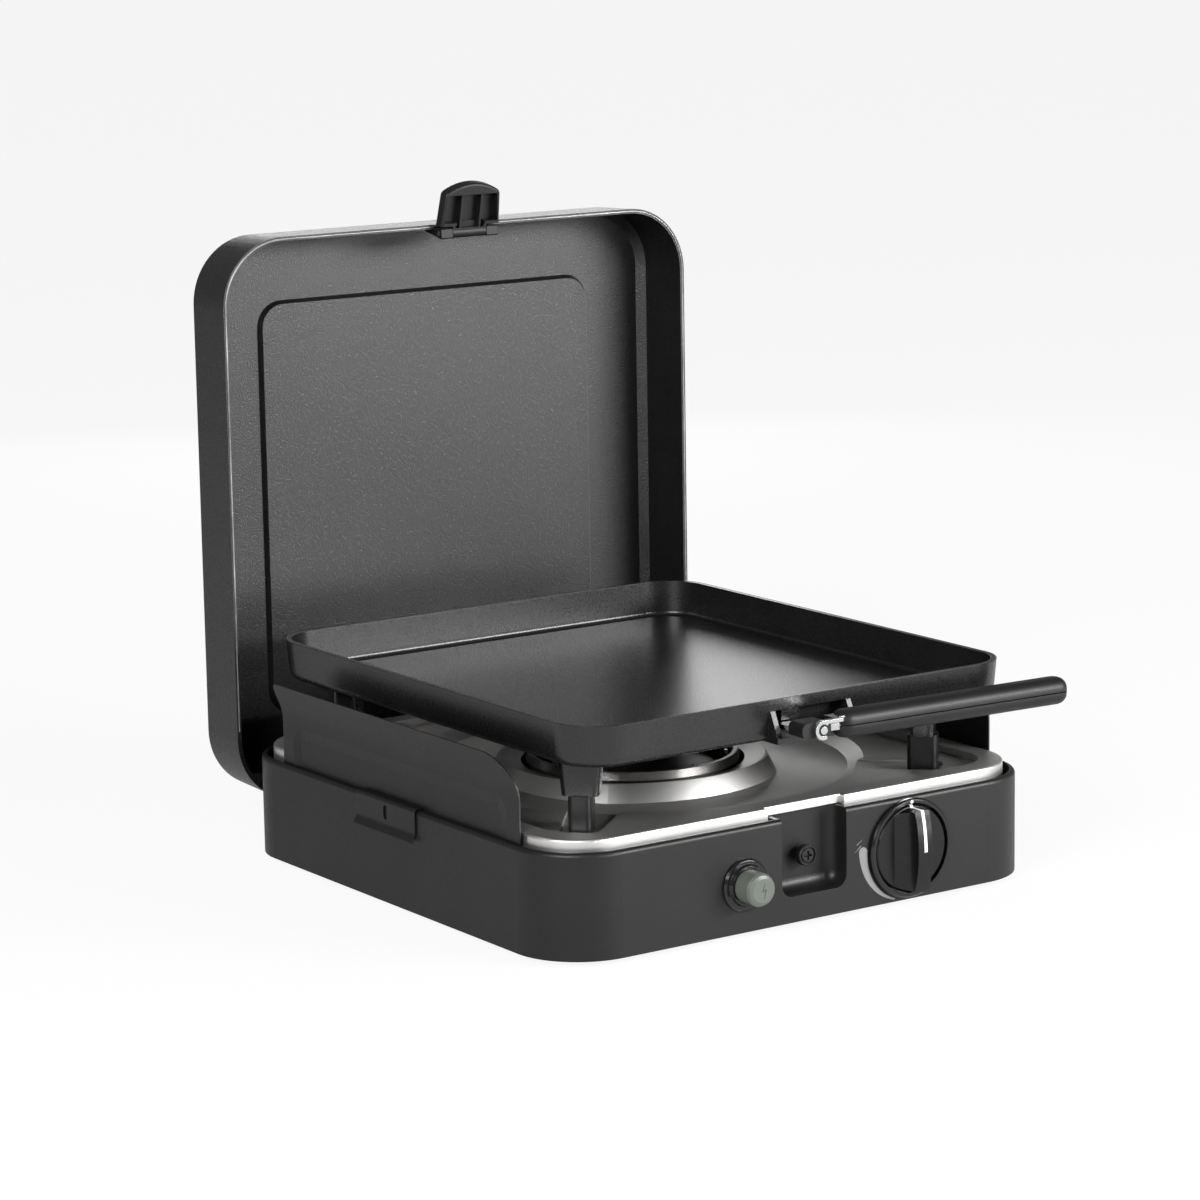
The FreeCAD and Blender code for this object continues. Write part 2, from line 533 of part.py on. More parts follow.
def outline(thing, corners):
    """A closed outline of straight sides through corners given in sheet sizes."""
    points = [Vector(num(u), num(v), 0) for u, v in corners]
    count = len(points)
    sides = []
    for i in range(count):
        side = Part.LineSegment(points[i], points[(i + 1) % count])
        sides.append(thing.addGeometry(side, False))
    for i in range(count):
        thing.addConstraint(
            Sketcher.Constraint("Coincident", sides[i], 2, sides[(i + 1) % count], 1))
    for i, (u, v) in enumerate(corners):
        for kind, text, axis in (("DistanceX", u, -2), ("DistanceY", v, -1)):
            if abs(num(text)) < 1e-9:
                thing.addConstraint(Sketcher.Constraint("PointOnObject", sides[i], 1, axis))
            else:
                fixed(thing, kind, text, -1, 1, sides[i], 1)
    return thing


def rounded(thing, wide, tall, radius, u="0", v="0"):
    """A rectangle with round corners about a middle point."""
    half_u = num(wide) / 2 - num(radius)
    half_v = num(tall) / 2 - num(radius)
    signs = ((1, 1), (-1, 1), (-1, -1), (1, -1))
    arcs = []
    for i, (su, sv) in enumerate(signs):
        middle = Vector(num(u) + su * half_u, num(v) + sv * half_v, 0)
        circle = Part.Circle(middle, Vector(0, 0, 1), num(radius))
        start = math.radians(90 * i)
        arc = Part.ArcOfCircle(circle, start, start + math.pi / 2)
        arcs.append(thing.addGeometry(arc, False))
    lines = []
    for i in range(4):
        first = thing.Geometry[arcs[i]].EndPoint
        second = thing.Geometry[arcs[(i + 1) % 4]].StartPoint
        lines.append(thing.addGeometry(Part.LineSegment(first, second), False))
    for i in range(4):
        thing.addConstraint(Sketcher.Constraint("Tangent", arcs[i], 2, lines[i], 1))
        thing.addConstraint(Sketcher.Constraint("Tangent", lines[i], 2, arcs[(i + 1) % 4], 1))
    for i, (su, sv) in enumerate(signs):
        across = "(%s) + %d * ((%s) / 2 - (%s))" % (u, su, wide, radius)
        along = "(%s) + %d * ((%s) / 2 - (%s))" % (v, sv, tall, radius)
        fixed(thing, "DistanceX", across, -1, 1, arcs[i], 3)
        fixed(thing, "DistanceY", along, -1, 1, arcs[i], 3)
        if i == 0:
            fixed(thing, "Radius", radius, arcs[i])
        else:
            thing.addConstraint(Sketcher.Constraint("Equal", arcs[0], arcs[i]))
    return thing


def ring(thing, radius, u="0", v="0"):
    """A circle about a point given in sheet sizes."""
    circle = Part.Circle(Vector(num(u), num(v), 0), Vector(0, 0, 1), num(radius))
    index = thing.addGeometry(circle, False)
    for kind, text, axis in (("DistanceX", u, -2), ("DistanceY", v, -1)):
        if abs(num(text)) < 1e-9:
            thing.addConstraint(Sketcher.Constraint("PointOnObject", index, 3, axis))
        else:
            fixed(thing, kind, text, -1, 1, index, 3)
    fixed(thing, "Radius", radius, index)
    return thing


def feature(owner, kind, profile, long=None, flip=False, lean=None, through=False,
            middle=False):
    """A Pad or a Pocket from a sketch, its length bound to the sheet."""
    doc.recompute()
    before = owner.Shape.Volume if owner.Tip else 0.0
    thing = owner.newObject("PartDesign::" + kind, owner.Label + "_" + kind.lower())
    thing.Profile = profile
    thing.Reversed = flip
    thing.Midplane = middle
    if long is not None:
        drive(thing, "Length", long)
    if lean is not None:
        drive(thing, "TaperAngle", lean)
    if through:
        thing.Type = "ThroughAll"
    profile.Visibility = False
    doc.recompute()
    after = owner.Shape.Volume
    if kind == "Pocket" and after >= before - 1e-6:
        raise RuntimeError(owner.Label + ": a pocket cuts nothing")
    if kind == "Pad" and after <= before + 1e-6:
        raise RuntimeError(owner.Label + ": a pad adds nothing")
    return thing


def dressed(owner, kind, size, test):
    """A Fillet or Chamfer of the edges of a body that pass the test."""
    doc.recompute()
    last = owner.Tip
    thing = owner.newObject("PartDesign::" + kind, owner.Label + "_" + kind.lower())
    thing.Base = (last, picked(last.Shape, test))
    drive(thing, "Radius" if kind == "Fillet" else "Size", size)
    doc.recompute()
    return thing


def turned(name, corners, offset="0"):
    """A body turned about the vertical axis from (radius, height) corners."""
    owner = body(name)
    profile = outline(sketch(owner, "XZ_Plane"), corners)
    doc.recompute()
    thing = owner.newObject("PartDesign::Revolution", name + "_revolution")
    thing.Profile = profile
    thing.ReferenceAxis = (profile, ["V_Axis"])
    thing.Angle = 360
    profile.Visibility = False
    doc.recompute()
    return owner


def prism(name, role, corners, long, offset="0", middle=False, flip=False):
    """A body padded from an outline on one of its base planes."""
    owner = body(name)
    profile = outline(sketch(owner, role, offset), corners)
    feature(owner, "Pad", profile, long, middle=middle, flip=flip)
    return owner


def solid(name, shape):
    """A piece whose shape is set by formula from the sheet's sizes."""
    thing = doc.addObject("Part::Feature", name)
    thing.Shape = shape
    return thing


def flat_at(edge, axis, level):
    box = edge.BoundBox
    low = getattr(box, axis + "Min")
    high = getattr(box, axis + "Max")
    return abs(low - level) < 1e-3 and abs(high - level) < 1e-3


def upright(edge):
    box = edge.BoundBox
    return box.XLength < 1e-3 and box.YLength < 1e-3


def bent_rod(name, points, radius, bend, hollow=0.0):
    """A rod or tube along points, each corner bent to a radius."""
    corners = [Vector(*p) for p in points]
    edges = []
    start = corners[0]
    for before, corner, after in zip(corners, corners[1:], corners[2:]):
        back = (before - corner).normalize()
        ahead = (after - corner).normalize()
        half = back.getAngle(ahead) / 2
        reach = bend / math.tan(half)
        first = corner + back * reach
        last = corner + ahead * reach
        middle_way = (back + ahead).normalize()
        centre = corner + middle_way * (bend / math.sin(half))
        middle = centre - middle_way * bend
        edges.append(Part.makeLine(start, first))
        edges.append(Part.Arc(first, middle, last).toShape())
        start = last
    edges.append(Part.makeLine(start, corners[-1]))
    path = Part.Wire(edges)
    way = (corners[1] - corners[0]).normalize()

    def swept(size):
        circle = Part.Wire([Part.makeCircle(size, corners[0], way)])
        return path.makePipeShell([circle], True, False)
    shape = swept(radius)
    if hollow:
        shape = shape.cut(swept(hollow))
    return solid(name, shape)


PARTS = []


def part(name, thing):
    """Marks a finished sub-part and gives it its name."""
    thing.Label = name
    PARTS.append((name, thing))
    return thing


# Base: shell, bottom plate, feet.
half_deep = "(base_deep / 2 - shell_wall)"
shell = body("base_shell")
feature(shell, "Pad", rounded(sketch(shell, "XY_Plane", "foot_tall"),
                              "base_wide", "base_deep", "base_round"), "shell_tall")
dressed(shell, "Fillet", "shell_lip", lambda e: flat_at(e, "Z", num(SHELL_TOP)))
feature(shell, "Pocket", rounded(sketch(shell, "XY_Plane", SHELL_TOP),
                                 "base_wide - 2 * shell_wall", "base_deep - 2 * shell_wall",
                                 "base_round - shell_wall"), through=True)
ledge = sketch(shell, "XY_Plane", "hob_seat - ledge_thick")
rounded(ledge, "base_wide - shell_wall", "base_deep - shell_wall", "base_round - shell_wall / 2")
rounded(ledge, "base_wide - 2 * shell_wall - 2 * ledge_reach",
        "base_deep - 2 * shell_wall - 2 * ledge_reach", "base_round - shell_wall - ledge_reach")
feature(shell, "Pad", ledge, "ledge_thick")
for side in (-1, 1):
    for end in (-1, 1):
        feature(shell, "Pad", ring(sketch(shell, "XY_Plane", PLATE_TOP), "boss_radius",
                                   "%d * (base_wide / 2 - shell_wall - boss_radius)" % side,
                                   "%d * boss_y" % end),
                "hob_seat - ledge_thick - " + PLATE_TOP)
back_wall = [("front_x - recess_wide / 2 - recess_wall", "recess_low - recess_wall"),
             ("front_x + recess_wide / 2 + recess_wall", "recess_low - recess_wall"),
             ("front_x + recess_wide / 2 + recess_wall", SHELL_TOP),
             ("front_x - recess_wide / 2 - recess_wall", SHELL_TOP)]
feature(shell, "Pad", outline(sketch(shell, "XZ_Plane", "-(%s + shell_lip)" % FRONT), back_wall),
        "recess_deep + recess_wall - shell_lip", flip=True)
feature(shell, "Pocket", rounded(sketch(shell, "XZ_Plane", "-" + RECESS_BACK),
                                 "recess_wide", "2 * (%s - recess_low)" % SHELL_TOP,
                                 "recess_round", "front_x", SHELL_TOP),
        "recess_deep + recess_wall", flip=True)
dressed(shell, "Fillet", "recess_cove", lambda e: flat_at(e, "Y", num(RECESS_BACK))
        and flat_at(e, "Z", num("recess_low")))
slot_low = "(lid_mid - lid_deep / 2)"
for side in (-1, 1):
    mid = "%d * strap_x" % side
    gap = [(mid + " - strap_wide / 2 - strap_room", slot_low),
           (mid + " + strap_wide / 2 + strap_room", slot_low),
           (mid + " + strap_wide / 2 + strap_room", SHELL_TOP + " + shell_lip"),
           (mid + " - strap_wide / 2 - strap_room", SHELL_TOP + " + shell_lip")]
    feature(shell, "Pocket", outline(
        sketch(shell, "XZ_Plane", "-(%s - ledge_reach - shell_wall)" % half_deep), gap),
        "ledge_reach + 3 * shell_wall")
for radius, x, z in (("bezel_radius - bezel_wall - plate_gap", "knob_x", "knob_z"),
                     ("collar_step - bezel_wall", "button_x", "button_z")):
    feature(shell, "Pocket", ring(sketch(shell, "XZ_Plane", "-" + FRONT), radius, x, z),
            "shell_wall + ledge_reach + plate_gap")
feature(shell, "Pocket", ring(sketch(shell, "XZ_Plane", "-%s" % FRONT), "screw_radius + pin_fit",
                              "front_x", "catch_z"), "recess_deep + 2 * recess_wall")
feature(shell, "Pocket", ring(sketch(shell, "YZ_Plane", "base_wide / 2 + shell_wall"),
                              "inlet_radius + pin_fit", "inlet_y", "pipe_z"), "3 * shell_wall")
wells = sketch(shell, "XY_Plane", PLATE_TOP)
for side in (-1, 1):
    for end in (-1, 1):
        ring(wells, "screw_radius + pin_fit",
             "%d * (base_wide / 2 - shell_wall - boss_radius)" % side, "%d * boss_y" % end)
feature(shell, "Pocket", wells, "4 * boss_radius", flip=True)
hob_screw_x = "(base_wide / 2 - hob_gap - 2 * screw_radius)"
lugs = sketch(shell, "XY_Plane", "hob_seat")
for side in (-1, 1):
    for end in (-1, 1):
        ring(lugs, "screw_radius + pin_fit", "%d * %s" % (side, hob_screw_x),
             "%d * tab_y" % end)
feature(shell, "Pocket", lugs, "2 * ledge_thick")
part("base_shell", shell)

floor = body("bottom_plate")
feature(floor, "Pad", rounded(sketch(floor, "XY_Plane", "foot_tall + plate_lift"),
                              "base_wide - 2 * shell_wall - 2 * plate_gap",
                              "base_deep - 2 * shell_wall - 2 * plate_gap",
                              "base_round - shell_wall - plate_gap"), "plate_thick")
foot_x = "(base_wide / 2 - foot_inset)"
foot_y = "(base_deep / 2 - foot_inset)"
holes = sketch(floor, "XY_Plane", PLATE_TOP)
for side in (-1, 1):
    for end in (-1, 1):
        ring(holes, "plug_radius + pin_fit", "%d * %s" % (side, foot_x), "%d * %s" % (end, foot_y))
        ring(holes, "screw_radius + pin_fit",
             "%d * (base_wide / 2 - shell_wall - boss_radius)" % side, "%d * boss_y" % end)
feature(floor, "Pocket", holes, through=True)
vents = sketch(floor, "XY_Plane", PLATE_TOP)
for row in range(-3, 4):
    rounded(vents, "vent_long", "vent_wide", "vent_wide / 2 - pin_fit", "0", "%d * vent_pitch" % row)
feature(floor, "Pocket", vents, through=True)
part("bottom_plate", floor)

feet = []
for side in (-1, 1):
    for end in (-1, 1):
        x = "%d * %s" % (side, foot_x)
        y = "%d * %s" % (end, foot_y)
        feet.append(join("foot", taper("foot_pad", "foot_radius - foot_draft", "foot_radius",
                                       "foot_tall + plate_lift", x, y, "0"),
                         rod("foot_neck", "plug_radius", "foot_tall + plate_lift + plate_thick",
                             x, y, "0"),
                         taper("foot_head", "plug_radius + plug_lap", "plug_radius",
                               "plate_thick", x, y, PLATE_TOP)))
part("rubber_feet", group("rubber_feet_group", *feet))


def screw(name, x, y, z, long, up=True):
    """A screw with its head under z and its shank above it, or the other way."""
    head_z = "%s - head_thick" % z if up else z
    shank_z = z if up else "%s - (%s)" % (z, long)
    return join(name, rod(name + "_head", "screw_head", "head_thick", x, y, head_z),
                rod(name + "_shank", "screw_radius", long, x, y, shank_z))


part("bottom_screws", group("bottom_screw_group", *[
    screw("bottom_screw", "%d * (base_wide / 2 - shell_wall - boss_radius)" % side,
          "%d * boss_y" % end, "(foot_tall + plate_lift)", "plate_thick + 2.4 * boss_radius")
    for side in (-1, 1) for end in (-1, 1)]))

# Hob: one pressed sheet, made as an outer form less the same form one sheet thinner.
reach = "sqrt(post_x ^ 2 + post_y ^ 2)"


def spin(along, across, side, end):
    """Sheet-size texts for a point along and across the diagonal to one post."""
    cos = "(%d * post_x / %s)" % (side, reach)
    sin = "(%d * post_y / %s)" % (end, reach)
    return ("(%s) * %s - (%s) * %s" % (along, cos, across, sin),
            "(%s) * %s + (%s) * %s" % (along, sin, across, cos))


CORNERS = [(-1, -1), (1, -1), (1, 1), (-1, 1)]


def hob_form(name, grow):
    """The hob's outside when grow is nothing, else the hollow below its sheet."""
    form = body(name)
    wide = "(base_wide - 2 * hob_gap - 2 * (%s))" % grow
    deep = "(base_deep - 2 * hob_gap - 2 * (%s))" % grow
    low = "hob_seat - (%s)" % grow
    top = "(%s - (%s))" % (HOB_TOP, grow)
    feature(form, "Pad", rounded(sketch(form, "XY_Plane", low), wide, deep,
                                 "base_round - hob_gap - (%s)" % grow), "%s - (%s)" % (top, low))
    notch_y = "(%s + recess_wall + notch_gap + (%s))" % (RECESS_BACK, grow)
    notch_half = "(recess_wide / 2 + recess_wall + notch_side + (%s))" % grow
    cut = [("front_x - " + notch_half, "-base_deep / 2"), ("front_x + " + notch_half, "-base_deep / 2"),
           ("front_x + " + notch_half, notch_y), ("front_x - " + notch_half, notch_y)]
    feature(form, "Pocket", outline(sketch(form, "XY_Plane", top), cut), through=True)
    jog_y = "(jog_deep + hob_gap - base_deep / 2 + (%s))" % grow
    jog = [("front_x - " + notch_half, jog_y), ("front_x + " + notch_half, jog_y),
           ("front_x + " + notch_half, notch_y + " + jog_deep"),
           ("front_x - " + notch_half, notch_y + " + jog_deep")]
    jog_low = "(%s + jog_gap + (%s))" % (SHELL_TOP, grow)
    feature(form, "Pad", outline(sketch(form, "XY_Plane", jog_low), jog), "%s - %s" % (top, jog_low))
    dressed(form, "Fillet", "hob_edge - (%s)" % grow, lambda e: flat_at(e, "Z", num(top)))
    feature(form, "Pocket", rounded(sketch(form, "XY_Plane", top),
                                    "base_wide - 2 * hob_gap - 2 * strip_wide + 2 * (%s)" % grow,
                                    "base_deep - 2 * hob_gap - 2 * strip_wide + 2 * (%s)" % grow,
                                    "strip_round + (%s)" % grow), "deck_drop")
    deck = "(%s - (%s))" % (DECK, grow)
    out = "(%s) / 4" % grow
    dish = [("0", deck + " + deck_drop"), ("dish_rim + " + out, deck + " + deck_drop"),
            ("dish_rim + " + out, deck), ("dish_foot + " + out, deck + " - dish_wall"),
            ("dish_flat + " + out, deck + " - dish_deep"), ("0", deck + " - dish_deep")]
    profile = outline(sketch(form, "XZ_Plane"), dish)
    doc.recompute()
    groove = form.newObject("PartDesign::Groove", name + "_dish")
    groove.Profile = profile
    groove.ReferenceAxis = (profile, ["V_Axis"])
    groove.Angle = 360
    profile.Visibility = False
    doc.recompute()
    ways = sketch(form, "XY_Plane", deck)
    ends = "(%s + channel_out + (%s))" % (reach, grow)
    start = "(dish_foot - channel_out)"
    narrow = "(channel_far + (%s))" % grow
    broad = "(channel_near + (%s))" % grow
    for side, end in CORNERS:
        outline(ways, [spin(start, "-" + broad, side, end), spin(ends, "-" + narrow, side, end),
                       spin(ends, narrow, side, end), spin(start, broad, side, end)])
    feature(form, "Pocket", ways, "channel_drop")
    far = num(reach) + num("channel_out") / 2
    dressed(form, "Fillet", "channel_out / 2 + (%s)" % grow, lambda e: upright(e) and math.hypot(
        e.BoundBox.XMin, e.BoundBox.YMin) > far and abs(e.BoundBox.XMin) < num(
            "base_wide / 2 - hob_gap - strip_wide") and e.BoundBox.ZLength < num(
                "channel_drop") + 1e-3)
    return form


hob_sheet = less("hob_sheet_form", hob_form("hob_outer", "0"), hob_form("hob_hollow", "hob_sheet"))
tabs = []
for side in (-1, 1):
    for end in (-1, 1):
        near = "%d * (base_wide / 2 - hob_gap - hob_sheet / 2)" % side
        far = "%d * (base_wide / 2 - hob_gap - tab_reach)" % side
        x0, x1 = (near, far) if side < 0 else (far, near)
        y = "%d * tab_y" % end
        tabs.append(block("hob_tab", x0, x1, y + " - tab_wide / 2", y + " + tab_wide / 2",
                          "hob_seat", "hob_seat + hob_sheet"))
drills = [rod("hob_mouth", "dish_hole", "base_deep", "0", "0", "0")]
for side, end in CORNERS:
    drills.append(rod("hob_drill", "screw_radius + pin_fit", "hob_seat + hob_sheet * 2",
                      "%d * %s" % (side, hob_screw_x), "%d * tab_y" % end, "0"))
    drills.append(rod("post_drill", "screw_radius + pin_fit", "post_tall",
                      "%d * post_x" % side, "%d * post_y" % end, CHANNEL + " - post_tall / 2"))
part("hob_plate", less("hob_plate_cut", join("hob_plate_join", hob_sheet, *tabs), *drills))
part("hob_screws", group("hob_screw_group", *[
    screw("hob_screw", "%d * %s" % (side, hob_screw_x), "%d * tab_y" % end,
          "(hob_seat - ledge_thick)", "ledge_thick + 3 * hob_sheet") for side, end in CORNERS]))

# Burner: a bowed crown, a bowl with an upright rim, a bright ring and a ported cap.
UNDER = "(%s - hob_sheet)" % DISH


def crown_form(name, less_wide, low):
    """What four shifted cones have in common: a cone with four soft points."""
    cones = []
    for x, y in ((1, 0), (0, 1), (-1, 0), (0, -1)):
        cones.append(taper("crown_side", "crown_foot + crown_shift - (%s)" % less_wide,
                           "crown_top + crown_shift - (%s)" % less_wide, "crown_tall",
                           "%d * crown_shift" % x, "%d * crown_shift" % y,
                           "%s - (%s)" % (DISH, low)))
    return shared(name, *cones)


mouth = taper("crown_funnel", "crown_hole", "crown_foot + crown_shift", "funnel_tall",
              "0", "0", DISH + " + funnel_low")
crown = less("crown_cut", crown_form("crown_outer", "0", "0"),
             less("crown_core", crown_form("crown_inner", "crown_sheet", "crown_sheet"),
                  place(taper("crown_funnel_low", "crown_hole", "crown_foot + crown_shift",
                              "funnel_tall"),
                        "0", "0", DISH + " + funnel_low - crown_sheet")),
             mouth, rod("crown_bore", "crown_hole", "crown_tall * 2", "0", "0", DISH))
part("burner_crown", crown)

rim_out = "(dish_hole - rim_back)"
bowl = turned("burner_bowl", [
    ("0", UNDER + " - bowl_deep"), ("bowl_radius - bowl_wall", UNDER + " - bowl_deep"),
    ("bowl_radius", UNDER + " - bowl_deep + bowl_wall"), ("bowl_radius", UNDER + " - flange_thick"),
    ("bowl_flange", UNDER + " - flange_thick"), ("bowl_flange", UNDER), (rim_out, UNDER),
    (rim_out, DISH + " + rim_tall"), (rim_out + " - rim_wide", DISH + " + rim_tall"),
    (rim_out + " - rim_wide", UNDER), ("bowl_radius - bowl_wall", UNDER),
    ("bowl_radius - bowl_wall", UNDER + " - bowl_deep + bowl_wall * 2"),
    ("bowl_radius - bowl_wall * 2", UNDER + " - bowl_deep + bowl_wall"),
    ("0", UNDER + " - bowl_deep + bowl_wall")])
TUBE_WAY = "sqrt(knob_x ^ 2 + (base_deep / 2 - bowl_wall * 3 - valve_long) ^ 2)"
valve_back = num("base_deep / 2 - bowl_wall * 3 - valve_long")
tube_turn = math.degrees(math.atan2(-valve_back, num("knob_x")))


def aimed(thing, start):
    """Lays an upright rod along the mixing tube, starting at a distance out."""
    turn = Rotation(Vector(0, 0, 1), tube_turn).multiply(Rotation(Vector(0, 1, 0), 90))
    thing.Placement = Placement(Vector(), turn)
    drive(thing, "Placement.Base.x", "(%s) * knob_x / %s" % (start, TUBE_WAY))
    drive(thing, "Placement.Base.y",
          "-(%s) * (base_deep / 2 - bowl_wall * 3 - valve_long) / %s" % (start, TUBE_WAY))
    drive(thing, "Placement.Base.z", "tube_z")
    return thing


def around(radius, degrees):
    """Sheet-size texts for a point on a circle about the burner."""
    return "%s * cos(%s * 1deg)" % (radius, degrees), "%s * sin(%s * 1deg)" % (radius, degrees)


probe_x, probe_y = around("probe_ring", "probe_turn")
spark_x, spark_y = around("probe_ring", "spark_turn")
taps = [aimed(rod("bowl_inlet", "tube_radius - tube_wall", "bowl_radius"), "bowl_radius / 2"),
        rod("probe_bore", "probe_radius + pin_fit", "bowl_deep", probe_x, probe_y,
            UNDER + " - bowl_deep / 2"),
        rod("spark_bore", "probe_radius + pin_fit", "bowl_deep", spark_x, spark_y,
            UNDER + " - bowl_deep / 2")]
part("burner_body", less("burner_body_cut", bowl, *taps))

band = turned("flame_ring", [
    (rim_out + " - rim_wide", DISH + " + rim_tall"),
    (rim_out + " + 4 * ring_lap", DISH + " + rim_tall"),
    (rim_out + " + 4 * ring_lap", DISH + " + rim_tall + ring_lap"),
    (rim_out + " + ring_lap * 2", DISH + " + rim_tall + ring_tall"),
    (rim_out + " - ring_lap * 2", DISH + " + rim_tall + ring_tall"),
    (rim_out + " - rim_wide", DISH + " + rim_tall + ring_tall / 2")])
part("burner_ring", band)

cap = turned("burner_cap_form", [
    ("0", UNDER), ("cap_radius", UNDER), ("cap_radius", UNDER + " + cap_thick / 2"),
    ("cap_top", UNDER + " + cap_thick"), ("0", UNDER + " + cap_thick + cap_rise")])
port = sketch(cap, "XY_Plane", UNDER)
outline(port, [("cap_top - port_long", "-port_wide / 2"), ("cap_radius + port_wide", "-port_wide / 2"),
               ("cap_radius + port_wide", "port_wide / 2"), ("cap_top - port_long", "port_wide / 2")])
feature(cap, "Pocket", port, "cap_thick / 3", flip=True)
ports = cap.newObject("PartDesign::PolarPattern", "ports")
ports.Originals = [cap.Tip]
ports.Axis = ([f for f in cap.Origin.OriginFeatures if f.Role == "Z_Axis"][0], [""])
ports.Angle = 360
drive(ports, "Occurrences", "port_count")
cap.Tip = ports
doc.recompute()
part("burner_cap", cap)

tube = less("tube_cut", join("tube_join", aimed(rod("tube_outer", "tube_radius",
                                                    "tube_out - 2 * tube_start"),
                                                "2 * tube_start"),
                             aimed(taper("tube_bell", "tube_radius", "tube_radius + 2 * tube_wall",
                                         "tube_radius"), "tube_out - tube_radius")),
            aimed(rod("tube_bore", "tube_radius - tube_wall", "tube_out"), "tube_start"),
            aimed(taper("tube_throat", "tube_radius - tube_wall", "tube_radius + tube_wall",
                        "tube_radius"), "tube_out - tube_radius"),
            rod("tube_seat", "bowl_radius + pin_fit", "base_deep", "0", "0", "0"))
part("burner_tube", tube)
VALVE_BACK = "(valve_long + bowl_wall * 3 - base_deep / 2)"
jet = less("jet_cut", aimed(rod("jet_rod", "jet_radius", "jet_long * 3"), "tube_out + jet_gap"),
           aimed(rod("jet_bore", "jet_bore", "jet_long * 4"), "tube_out"),
           block("jet_trim", "0", "base_wide / 2", "-base_deep / 2", VALVE_BACK, "0", "hob_seat"))
part("gas_jet", jet)

# Gas way: inlet, pipe, valve with its flame failure magnet, thermocouple, igniter.
OUT = Rotation(Vector(1, 0, 0), 90)
ASIDE = Rotation(Vector(0, 1, 0), 90)
VALVE_FRONT = "(bowl_wall * 3 - base_deep / 2 + bezel_wall)"
half_valve = "(valve_wide / 2)"
valve = less("valve_cut",
             join("valve_join",
                  block("valve_block", "knob_x - " + half_valve, "knob_x + " + half_valve,
                        VALVE_FRONT, VALVE_BACK, "valve_low", "valve_high"),
                  rod("valve_magnet", "magnet_radius", "magnet_long",
                      "knob_x - %s - magnet_long" % half_valve, VALVE_BACK + " - magnet_in",
                      "knob_z", "x")),
             rod("valve_bore", "rotor_radius + pin_fit", "valve_long - 3 * bowl_wall", "knob_x",
                 VALVE_FRONT + " + bowl_wall", "knob_z", "y"),
             rod("valve_neck", "spindle_radius + pin_fit * 2", "valve_long / 2", "knob_x",
                 VALVE_FRONT + " - bowl_wall", "knob_z", "y"),
             rod("valve_port", "pipe_radius - pipe_wall", "valve_wide", "knob_x + spindle_radius",
                 "-(base_deep / 2) + valve_wide", "pipe_z", "x"))
part("gas_valve", valve)
rotor = less("rotor_cut", rod("rotor_rod", "rotor_radius", "valve_long - 4 * bowl_wall", "knob_x",
                              VALVE_FRONT + " + bowl_wall + bezel_wall / 2", "knob_z", "y"),
             rod("rotor_bore", "spindle_radius + pin_fit", "valve_long / 2", "knob_x",
                 VALVE_FRONT, "knob_z", "y"))
part("valve_rotor", rotor)
part("valve_spindle", rod("spindle", "spindle_radius", "spindle_out + spindle_in", "knob_x",
                          "-base_deep / 2 - spindle_out", "knob_z", "y"))
foot = "(bowl_wall / 2)"
part("valve_bracket", join(
    "bracket_join",
    block("bracket_foot", "knob_x - " + half_valve, "knob_x + " + half_valve, VALVE_FRONT,
          VALVE_BACK + " + valve_wide / 2", PLATE_TOP, PLATE_TOP + " + " + foot),
    block("bracket_web", "knob_x - " + half_valve, "knob_x + " + half_valve, VALVE_BACK + " + hob_sheet",
          "%s + hob_sheet + %s" % (VALVE_BACK, foot), PLATE_TOP, "valve_low"),
    block("bracket_shelf", "knob_x - " + half_valve, "knob_x + " + half_valve, VALVE_FRONT,
          "%s + hob_sheet + %s" % (VALVE_BACK, foot), "valve_low - " + foot, "valve_low")))

pipe_end = "(knob_x + %s)" % half_valve
inlet_in = "(base_wide / 2 - shell_wall - inlet_radius)"
pipe = bent_rod("gas_pipe_form", [
    (num(inlet_in), num("inlet_y"), num("pipe_z")), (num("pipe_x"), num("inlet_y"), num("pipe_z")),
    (num("pipe_x"), num("valve_wide - base_deep / 2"), num("pipe_z")),
    (num(pipe_end), num("valve_wide - base_deep / 2"), num("pipe_z"))],
    num("pipe_radius"), num("pipe_radius * 2"), num("pipe_radius - pipe_wall"))
part("gas_pipe", pipe)

SIDE = "(base_wide / 2)"
inlet = turned("gas_inlet_form", [
    ("tail_radius / 2", "-(shell_wall + inlet_radius)"), ("inlet_radius", "-(shell_wall + inlet_radius)"),
    ("inlet_radius", "0"), ("inlet_flange", "0"), ("inlet_flange", "shell_wall"),
    ("inlet_radius", "shell_wall"), ("inlet_radius", "shell_wall * 2"),
    ("tail_radius", "shell_wall * 2 + bezel_wall"), ("tail_radius", "tail_neck"),
    ("tail_groove", "tail_neck + barb_rise"), ("tail_radius", "tail_neck + 2 * barb_rise"),
    ("tail_groove", "barb_two"), ("tail_radius", "barb_two + barb_rise"),
    ("tail_groove", "tail_long"), ("tail_radius / 2", "tail_long")])
place(inlet, SIDE, "inlet_y", "pipe_z", ASIDE)
part("gas_inlet", less("gas_inlet_cut", inlet,
                       rod("inlet_socket", "pipe_radius + pin_fit", "pipe_radius", inlet_in
                           + " - pipe_radius", "inlet_y", "pipe_z", "x")))
nut = turned("inlet_nut_form", [
    ("inlet_radius + pin_fit", "-(shell_wall + nut_thick)"),
    ("inlet_flange", "-(shell_wall + nut_thick)"), ("inlet_flange", "-shell_wall"),
    ("inlet_radius + pin_fit", "-shell_wall")])
place(nut, SIDE, "inlet_y", "pipe_z", ASIDE)
sixes = doc.addObject("Part::Prism", "nut_six")
sixes.Polygon = 6
drive(sixes, "Circumradius", "inlet_flange")
drive(sixes, "Height", "base_wide")
place(sixes, "0", "inlet_y", "pipe_z", ASIDE)
